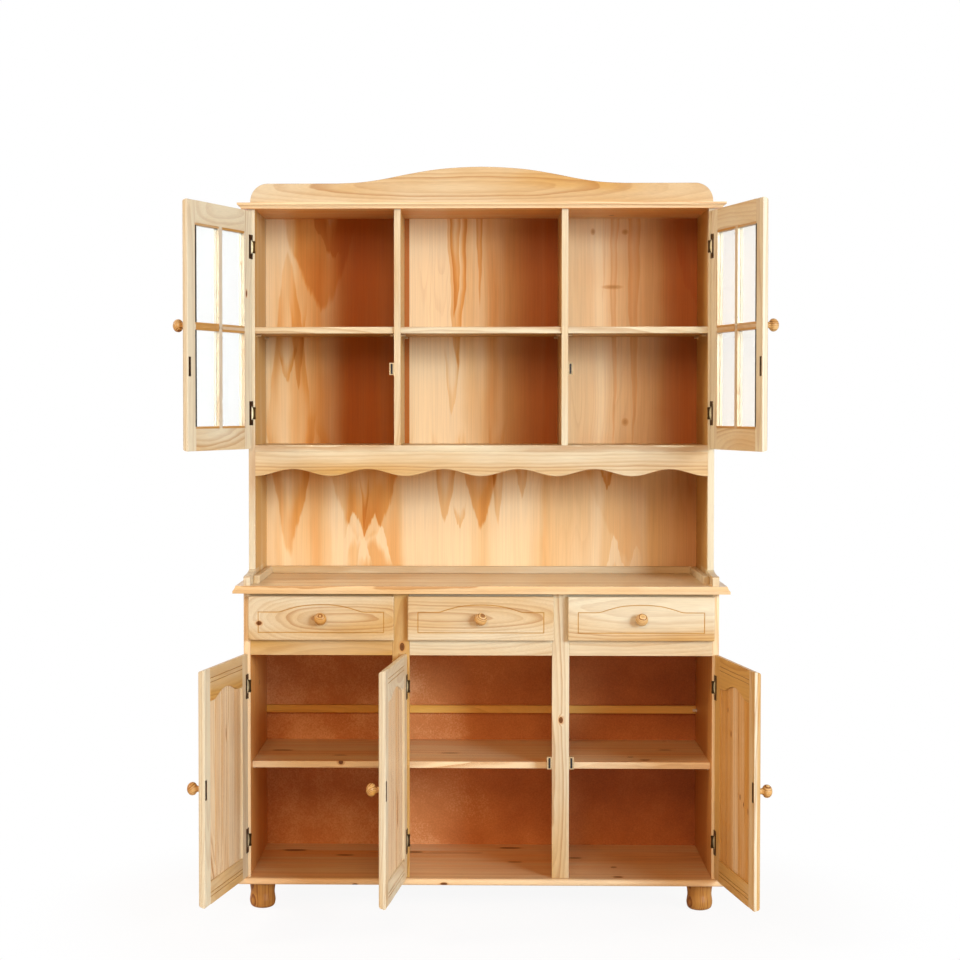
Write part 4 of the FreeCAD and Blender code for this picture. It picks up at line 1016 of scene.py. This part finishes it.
# %% Hang the upper doors
def upper_door(name, place, tones):
    """Stiles, rails, a cross of bars, beads with their brads, and a knob."""
    parts = [upper_stile(UX0, PANE_LEFT, tones[0]), upper_stile(UX1, PANE_RIGHT, tones[1]),
             upper_rail(UZ0, PANE_LOW, tones[2]), upper_rail(UZ1, PANE_HIGH, tones[3])]
    piece(name + "_frame_moulded", name, [name + "_frame"], lacquered_pine, parts, place)
    bars = [glazing_bar(PANE_LOW, PANE_HIGH, MID_X, Z)]
    bars += [glazing_bar(left, right, MID_Z, X) for left, right in PANE_X]
    piece(name + "_bars_tongued", name, [name + "_bars"], bar_pine, bars, place)
    beads = [bead for left, right in PANE_X for low, high in PANE_Z
             for bead in beads_round(left, right, low, high)]
    piece(name + "_beads_eased", name, [name + "_beads"], bar_pine, beads, place)
    piece(name + "_seams_and_brads", name, [], dark_line, seams_and_brads(), place)
    knob = turned(knob_shape, Y, (UX1 - KNOB_IN, BACK - UPPER_THICK, UZ0 + UPPER_KNOB), tone=0.5)
    piece(name + "_knob_turned", name, [name + "_knob"], turned_pine, [knob], place)


upper_door("door_upper_left", hung(-PIN_X, HUTCH_FRONT, 1, 109.0), (-0.1, -0.1, 0.1, 0.0))
upper_door("door_upper_right", hung(PIN_X, HUTCH_FRONT, -1, 103.5), (-0.4, -0.45, 0.2, 0.1))

# %% [markdown]
# ## Sheet backs
# The hutch's back is thin plywood with a rotary-cut pine face. The lathe knife follows the rings,
# so they open into tall bands and into flames with a sharp, ragged tip on one side that fade on
# the other. The bands come from noise that is stretched upward. Each flame is one inequality over
# its width and height, frayed by a finer noise. The base has plain brown hardboard.

# %% Rotary-cut veneer
def veneer(name, flames, knots):
    """Rotary-cut pine.

    A flame holds where t > |(x - x0) / w| ** 1.5, t being the share of its height from the tip.
    """
    material, tree, shader = start_material(name)
    spot = own_place(tree)
    spot_x = split(tree, spot)[0]
    fray = noise(tree, spot, 3.0, (90.0, 1.0, 10.0)).outputs["Fac"]
    sway = noise(tree, spot, 2.0, (7.0, 1.0, 7.0)).outputs["Color"]
    sway = vector(tree, "SUBTRACT", sway, (0.5, 0.5, 0.5))
    moved = vector(tree, "MULTIPLY_ADD", sway, (0.022, 0.0, 0.07), spot)
    x, _, z = split(tree, moved)
    z = calc(tree, "MULTIPLY_ADD", calc(tree, "SUBTRACT", fray, 0.5), 0.07, z)
    # Tall bands: some broad and soft, and contours of the same noise as thin dark growth lines.
    tall = noise(tree, moved, 2.0, (8.0, 1.0, 0.5)).outputs["Fac"]
    bands = span(tree, tall, 0.42, 0.62, 0.0, 0.55)
    steps = calc(tree, "FRACT", calc(tree, "MULTIPLY", tall, 26.0))
    lines = calc(tree, "MULTIPLY", span(tree, steps, 0.55, 0.95), span(tree, steps, 1.0, 0.95))
    wide = noise(tree, spot, 1.0, (3.0, 1.0, 2.0)).outputs["Fac"]
    lines = calc(tree, "MULTIPLY", lines, span(tree, wide, 0.45, 0.65, 0.0, 0.13))
    amount = calc(tree, "SUBTRACT", bands, span(tree, spot_x, 0.17, 0.24, 0.0, 0.22))
    for centre, tip, half, tall_by, strength in flames:
        side = calc(tree, "ABSOLUTE", calc(tree, "DIVIDE", calc(tree, "SUBTRACT", x, centre), half))
        share = calc(tree, "DIVIDE", calc(tree, "SUBTRACT", z, tip), tall_by)
        inside = calc(tree, "SUBTRACT", share, calc(tree, "POWER", side, 1.5))
        held = calc(tree, "MULTIPLY", span(tree, inside, 0.0, 0.12), span(tree, inside, 1.1, 0.3))
        held = calc(tree, "MULTIPLY", held, span(tree, share, 1.9, 1.1))
        amount = calc(tree, "MULTIPLY_ADD", held, 0.8 * strength, amount)
    # Painted shade: the right of each bay, shaded by the divider or side on its right, and the right
    # end of the niche, shaded by the hutch's right side, are made darker and more orange.
    above = calc(tree, "GREATER_THAN", z, 1.2)
    below = calc(tree, "SUBTRACT", 1.0, above)
    deep = calc(tree, "MULTIPLY", span(tree, x, 0.49, 0.62, 0.0, 0.6), below)
    for start, end, last in ((-0.50, -0.35, -0.19), (0.02, 0.19, 0.24), (0.45, 0.60, 0.8)):
        within = calc(tree, "LESS_THAN", spot_x, last)
        bay = calc(tree, "MULTIPLY", span(tree, x, start, end), within)
        deep = calc(tree, "MULTIPLY_ADD", bay, above, deep)
    amount = calc(tree, "MULTIPLY_ADD", deep, 0.45, amount)
    ground = ramp(tree, amount, [(0.0, "#f8dcac"), (0.35, "#efc78c"),
                                 (0.7, "#e2a052"), (1.0, "#ca7c30")]).outputs["Color"]
    right_sheet = calc(tree, "MULTIPLY", span(tree, spot_x, 0.17, 0.24, 0.0, 0.2), above)
    ground = blend(tree, right_sheet, ground, "#fbe9cc")
    # The painted shade pulls the ground toward a deep orange brown.
    ground = blend(tree, calc(tree, "MULTIPLY", deep, 0.85), ground, "#ae5811")
    lined = blend(tree, lines, ground, "#b06f30")
    branch = 0.0
    for centre, radii in knots:
        gap = ball(tree, spot, centre, radii)
        branch = calc(tree, "MAXIMUM", branch, span(tree, gap, 2.6, 0.2))
    haloed = blend(tree, span(tree, branch, 0.1, 0.7, 0.0, 0.6), lined, "#cf9450")
    knotted = blend(tree, span(tree, branch, 0.75, 0.9, 0.0, 0.35), haloed, "#b0702e")
    fibre = noise(tree, spot, 3.0, (260.0, 1.0, 5.0)).outputs["Fac"]
    toned = vector(tree, "MULTIPLY", knotted, span(tree, fibre, 0.3, 0.7, 0.94, 1.03))
    shader.inputs["Specular IOR Level"].default_value = 0.15
    rough = span(tree, fibre, 0.0, 1.0, 0.36, 0.52, "LINEAR")
    finish(tree, shader, toned, rough, fibre, 0.06)
    return material


# %% Where its flames and knots lie
# Flames: place across, height of the tip and half-width in metres, then height and strength. One
# with a height below zero hangs the other way, and one with a strength below zero is paler.
back_flames = [
    (-0.412, 1.793, 0.060, 0.12, 0.55), (-0.446, 1.641, 0.115, 0.28, 0.45),
    (-0.540, 1.835, 0.045, -0.30, 0.35), (-0.542, 1.428, 0.020, 0.07, 0.4),
    (-0.513, 1.40, 0.018, 0.16, 0.3), (-0.052, 1.452, 0.026, 0.34, 0.6),
    (-0.068, 1.330, 0.016, 0.12, 0.4), (-0.058, 1.62, 0.020, 0.36, 0.65),
    (0.012, 1.64, 0.012, 0.36, 0.5), (0.640, 1.645, 0.050, 0.12, 0.4),
    (0.402, 1.20, 0.012, 0.75, 0.35), (0.458, 1.22, 0.020, 0.75, 0.4),
    (0.372, 1.66, 0.007, 0.30, 0.35), (-0.087, 1.015, 0.032, 0.16, 0.6),
    (0.017, 1.000, 0.050, 0.17, 0.6), (-0.045, 1.000, 0.014, 0.045, 0.5),
    (0.135, 1.090, 0.022, 0.09, 0.5), (0.066, 1.005, 0.018, 0.18, 0.45),
    (0.385, 1.128, 0.018, 0.04, 0.5), (-0.320, 0.955, 0.100, 0.20, 0.45),
    (-0.322, 1.008, 0.010, 0.09, 0.35), (-0.349, 1.062, 0.038, -0.10, -0.8),
    (-0.290, 1.062, 0.038, -0.10, -0.8), (0.460, 0.900, 0.130, 0.24, 0.14),
    (0.405, 0.998, 0.026, -0.10, -0.8), (0.470, 0.960, 0.028, -0.08, -0.8),
    (-0.535, 0.930, 0.055, 0.24, 0.45)]
back_knots = [
    ((0.339, 0.42, 1.867), (0.004, 1.0, 0.006)), ((0.4315, 0.42, 1.866), (0.006, 1.0, 0.005)),
    ((0.395, 0.42, 1.708), (0.018, 1.0, 0.004)), ((0.433, 0.42, 1.319), (0.006, 1.0, 0.007))]


print("veneer:", len(back_flames), "flames and", len(back_knots), "knots")


# %% Hardboard
def hardboard(name):
    """Pressed brown fibre: a warm base, soft clouds a hand wide, and specks of some millimetres."""
    material, tree, shader = start_material(name)
    spot = own_place(tree)
    clouds = noise(tree, spot, 3.0, (7.0, 7.0, 7.0)).outputs["Fac"]
    specks = noise(tree, spot, 2.0, (260.0, 260.0, 260.0)).outputs["Fac"]
    both = calc(tree, "MULTIPLY_ADD", specks, 0.3, calc(tree, "MULTIPLY_ADD", clouds, 0.45, 0.41))
    # Painted shade and light: it darkens towards the right, where the bays' right-hand walls shade
    # the back, and is paler at the left.
    across = split(tree, spot)[0]
    both = calc(tree, "ADD", both, span(tree, across, -0.25, 0.65, 0.10, -0.2, "LINEAR"))
    tone = ramp(tree, both, [(0.45, "#a85f31"), (0.65, "#c4773f"),
                             (0.85, "#dc9152"), (1.1, "#f6bd84")]).outputs["Color"]
    rough = span(tree, specks, 0.0, 1.0, 0.42, 0.62, "LINEAR")
    finish(tree, shader, tone, rough, specks, 0.08, 0.0004)
    shader.inputs["Specular IOR Level"].default_value = 0.2
    return material


# %% Dress both backs
def dress(names, material, bevel=0.0):
    """Give CAD nodes a finish, and a small Bevel where their edges catch light."""
    for name in names:
        thing = nodes[name]
        thing.data.materials.clear()
        thing.data.materials.append(material)
        if bevel:
            soften = thing.modifiers.new("soft_edges", "BEVEL")
            soften.width = bevel
            soften.segments = 2
            soften.limit_method = "ANGLE"
            soften.angle_limit = math.radians(40)


dress(["hutch_back_panel"], veneer("pine_veneer_rotary_cut", back_flames, back_knots))
dress(["base_back_panel"], hardboard("hardboard_brown_pressed"))
print("dressed in place: both backs")

# %% [markdown]
# ## Drawer boxes and runners
# These show only when a drawer is pulled out. They are plain sanded pine from the frame itself,
# with their grain taken from the object's own coordinates.

# %% Plain pine for the CAD nodes
def plain_wood(name):
    """Sanded pine whose streaks run from front to back, some millimetres wide."""
    material, tree, shader = start_material(name)
    streak = noise(tree, own_place(tree), 4.0, (90.0, 2.5, 90.0)).outputs["Fac"]
    tone = ramp(tree, streak, [(0.3, "#e9d2aa"), (0.5, "#dfc090"), (0.72, "#cda36a")])
    tone = tone.outputs["Color"]
    finish(tree, shader, tone, span(tree, streak, 0.0, 1.0, 0.5, 0.65, "LINEAR"), streak)
    return material


boxes = ["drawer_left_box", "drawer_middle_box", "drawer_right_box", "drawer_runners"]
dress(boxes, plain_wood("pine_plain_sanded"), 0.0008)
print("dressed in place:", boxes)

# %% [markdown]
# ## Glass, metal and plastic
# The panes are clear float glass. The hinges and strike plates are antiqued brass, dark in the
# hollows. The frame leaves are dark too, partly as painted shade, with a painted highlight on
# each hinge's barrel. The catches are pale plastic with a dark magnet strip. The pegs under the
# hutch's shelves are darker and amber as painted shade, and those in the base are pale, so one
# material changes colour with the height.

# %% Metal with patina and painted highlights
def metal(name, dark, bright, roughness, patch=160.0, highlighted=()):
    """Metal: a dark patina in patches over a brighter ground, and painted highlights at some spots.
    """
    material, tree, shader = start_material(name)
    spot = own_place(tree)
    patches = noise(tree, spot, 4.0, (patch, patch, patch)).outputs["Fac"]
    scuffs = noise(tree, spot, 1.0, (1400.0, 1400.0, 1400.0)).outputs["Fac"]
    amount = span(tree, patches, 0.35, 0.68, 0.0, 1.0, "LINEAR")
    # Painted highlight: only near the given spots does the brighter ground show; elsewhere the dark
    # colour covers it.
    if highlighted:
        near = [span(tree, ball(tree, spot, centre, radii), 1.15, 0.85) for centre, radii in highlighted]
        rub = near[0]
        for one in near[1:]:
            rub = calc(tree, "MAXIMUM", rub, one)
        amount = calc(tree, "MULTIPLY", rub, calc(tree, "MULTIPLY_ADD", amount, 0.4, 0.6))
    tone = blend(tree, amount, dark, bright)
    rough = span(tree, scuffs, 0.0, 1.0, roughness - 0.08, roughness + 0.12, "LINEAR")
    finish(tree, shader, tone, rough, scuffs, 0.08, 0.0002)
    shader.inputs["Metallic"].default_value = 1.0
    return material


# %% Moulded plastic
def plastic(name, pale, deep, roughness, height=None):
    """Moulded plastic: a faint mottle and a soft sheen; above a height, the deeper colour."""
    material, tree, shader = start_material(name)
    mottle = noise(tree, own_place(tree), 2.0, (300.0, 300.0, 300.0)).outputs["Fac"]
    amount = span(tree, mottle, 0.35, 0.65)
    if height:
        up = split(tree, own_place(tree))[2]
        amount = calc(tree, "MULTIPLY_ADD", amount, 0.2, calc(tree, "LESS_THAN", up, height))
    rough = span(tree, mottle, 0.0, 1.0, roughness - 0.05, roughness + 0.08, "LINEAR")
    finish(tree, shader, blend(tree, amount, deep, pale), rough, mottle, 0.05, 0.0003)
    return material


# %% Float glass
def float_glass(name):
    """Clear glass: full transmission with a breath of green, and faint waviness a hand wide."""
    material, tree, shader = start_material(name)
    shader.inputs["Base Color"].default_value = colour("#fdfffe")
    shader.inputs["Transmission Weight"].default_value = 1.0
    shader.inputs["IOR"].default_value = 1.25
    wave = noise(tree, own_place(tree), 1.0, (14.0, 14.0, 14.0)).outputs["Fac"]
    tree.links.new(span(tree, wave, 0.0, 1.0, 0.0, 0.02), shader.inputs["Roughness"])
    # Light reaches the wood behind: shadow rays pass straight through.
    clear = add(tree, "BsdfTransparent", [("Color", colour("#f8fbf9"))])
    haze = add(tree, "BsdfDiffuse", [("Color", colour("#f4f8f6"))])
    misty = add(tree, "MixShader", [(0, 0.12), (1, shader.outputs[0]), (2, haze.outputs[0])])
    shadow = add(tree, "LightPath").outputs["Is Shadow Ray"]
    mixed = add(tree, "MixShader", [(0, shadow), (1, misty.outputs[0]), (2, clear.outputs[0])])
    tree.links.new(mixed.outputs[0], tree.nodes["Material Output"].inputs["Surface"])
    return material


# %% Finishes for the fittings
patina = metal("brass_antiqued_dark", "#2c2116", "#6b5030", 0.4)
barrel = (0.004, 0.006, 0.017)    # half-sizes of the painted highlight on a hinge's barrel, in metres
pins = [((x, -0.0345, z), barrel) for x in (-0.6125, -0.1825, 0.6465) for z in (0.191, 0.609)]
pins += [((x, 0.1045, z), barrel) for x in (-0.6125, 0.6465) for z in (1.345, 1.801)]
# Painted highlight on each hinge's barrel; the dark ground of the frame leaves is patina and partly
# painted shade.
rubbed = metal("brass_painted_highlight_at_the_pins", "#3c2d1a", "#cbbf98", 0.38, 60.0, pins)
steel = metal("steel_pins_plated", "#5a5140", "#a89c80", 0.3)
doors = ["door_lower_left", "door_lower_middle", "door_lower_right",
         "door_upper_left", "door_upper_right"]
dress([door + "_hardware" for door in doors], patina, 0.0003)
dress(["frame_hinge_leaves"], rubbed, 0.0002)
dress(["hinge_pins"], steel)
dress(["catch_housings"], plastic("plastic_catch_beige", "#cbb48a", "#b39a6c", 0.42), 0.0008)
dress(["catch_magnets"], plastic("magnet_dark_ferrite", "#140f0c", "#090706", 0.75), 0.0004)
# The pegs above 1 m, under the hutch's shelves, take the deeper amber colour as painted shade, and
# those below stay pale.
dress(["shelf_pegs"], plastic("plastic_peg_clear", "#f4f1ea", "#c4a672", 0.35, 1.0), 0.0003)
dress(["door_upper_left_glass", "door_upper_right_glass"], float_glass("glass_clear_float"))
print("materials:", len(bpy.data.materials), "and worn spots on the hinges:", len(pins))

# %% [markdown]
# ## Light, floor and camera
# The photograph is a catalogue shot: a white studio, with the main light from the right and plenty
# of bounce. Four square lamps stand for it. The main one, on the right, is slightly cool, and the
# one above the camera is warm. Two weaker ones fill in from the left and from the right. The world
# is white where the camera, a reflection or the glass shows it, and a weak warm bounce elsewhere.
# The camera stands six metres off, about 10 cm above the hutch's floor, with a long lens that was
# solved from points on the picture.

# %% Four lamps
def soft_light(name, place, target, size, watts, tint="#ffffff"):
    """A square area light that faces a point."""
    data = bpy.data.lights.new(name, "AREA")
    data.shape = "SQUARE"
    data.size = size
    data.energy = watts
    data.color = colour(tint)[:3]
    lamp = bpy.data.objects.new(name, data)
    lamp.location = place
    aim = np.asarray(target, float) - np.asarray(place, float)
    tilt = math.atan2(np.hypot(aim[0], aim[1]), -aim[2])
    lamp.rotation_euler = (tilt, 0.0, math.atan2(aim[0], -aim[1]) + math.pi)
    bpy.context.scene.collection.objects.link(lamp)


soft_light("key_right", (4.8, -6.9, 2.53), (0.0, 0.0, 1.1), 2.35, 580.0, "#cde6ff")
soft_light("front_high", (-0.4, -6.2, 3.7), (0.0, 0.0, 1.0), 2.5, 152.0, "#ffd8b0")
soft_light("fill_left", (-5.6, -1.4, 4.0), (0.0, 0.0, 1.0), 2.0, 235.0, "#fff6ec")
soft_light("fill_right", (5.2, -3.6, 2.2), (0.0, 0.0, 1.1), 2.0, 125.0, "#fff8f0")

print("lamps:", [(lamp.name, lamp.energy) for lamp in bpy.data.lights])

# %% The world: white where it is seen, a warm bounce elsewhere
world = bpy.data.worlds.new("white_studio")
world.use_nodes = True
sky = world.node_tree
ray = add(sky, "LightPath").outputs
seen = calc(sky, "MAXIMUM", ray["Is Glossy Ray"], ray["Is Transmission Ray"])
seen = calc(sky, "MAXIMUM", ray["Is Camera Ray"], seen)
warm_bounce, white = (0.19, 0.065, 0.013, 1.0), (1.0, 1.0, 1.0, 1.0)
room = add(sky, "Mix", [("Factor", seen), (6, warm_bounce), (7, white)], data_type="RGBA")
sky.links.new(room.outputs[2], sky.nodes["Background"].inputs["Color"])
bpy.context.scene.world = world
print("unseen world", warm_bounce[:3], "seen world", white[:3])


# %% The floor
def studio_floor():
    """A disc in rings: r = R s, with s from 0 to 1, closed by one face at the middle."""
    rings, spokes = 24, 96
    radius = np.linspace(0.05, 3.2, rings)[:, None]
    t = np.linspace(0, 2 * math.pi, spokes, endpoint=False)[None, :]
    points = np.stack([radius * np.cos(t), radius * np.sin(t), 0 * radius + 0 * t], -1)
    points = points.reshape(-1, 3)
    index = np.arange(rings * spokes).reshape(rings, spokes)
    side = np.roll(index, -1, axis=1)
    quads = np.stack([index[:-1], index[1:], side[1:], side[:-1]], -1).reshape(-1, 4)
    mesh = bpy.data.meshes.new("floor")
    mesh.from_pydata(points, [], quads.tolist() + [index[0].tolist()])
    floor = bpy.data.objects.new("floor", mesh)
    bpy.context.scene.collection.objects.link(floor)
    material, tree, shader = start_material("studio_floor_white")
    shader.inputs["Base Color"].default_value = colour("#f4f2ef")
    shader.inputs["Roughness"].default_value = 0.8
    # Seen by the camera the floor is mostly plain white light, and all of it far from the object,
    # so that its rim can't be seen and the shadow stays faint.
    out = vector(tree, "LENGTH", own_place(tree))
    ray = add(tree, "LightPath").outputs
    seen = calc(tree, "MAXIMUM", ray["Is Camera Ray"], ray["Is Transmission Ray"])
    fade = calc(tree, "MULTIPLY", span(tree, out, 0.7, 1.3, 0.92, 1.0), seen)
    glow = add(tree, "Emission", [("Color", white), ("Strength", 1.0)])
    mixed = add(tree, "MixShader", [(0, fade), (1, shader.outputs[0]), (2, glow.outputs[0])])
    tree.links.new(mixed.outputs[0], tree.nodes["Material Output"].inputs["Surface"])
    mesh.materials.append(material)
    return floor


studio_floor()

# %% Camera
lens_pixels, frame_pixels, sensor = 2183.7, 960, 36.0    # focal length, picture and film width
camera_data = bpy.data.cameras.new("camera")
camera_data.sensor_width = sensor
camera_data.lens = lens_pixels / frame_pixels * sensor
camera_data.shift_x = 0.0528
camera = bpy.data.objects.new("camera", camera_data)
camera.location = (0.0192, -5.8972, 1.3597)
camera.rotation_euler = (math.pi / 2 - 0.033, 0.0, 0.024)
bpy.context.scene.collection.objects.link(camera)
bpy.context.scene.camera = camera
bpy.context.scene.view_settings.view_transform = "Standard"
print("lens", round(camera_data.lens, 1), "mm, camera at", camera.location[:])
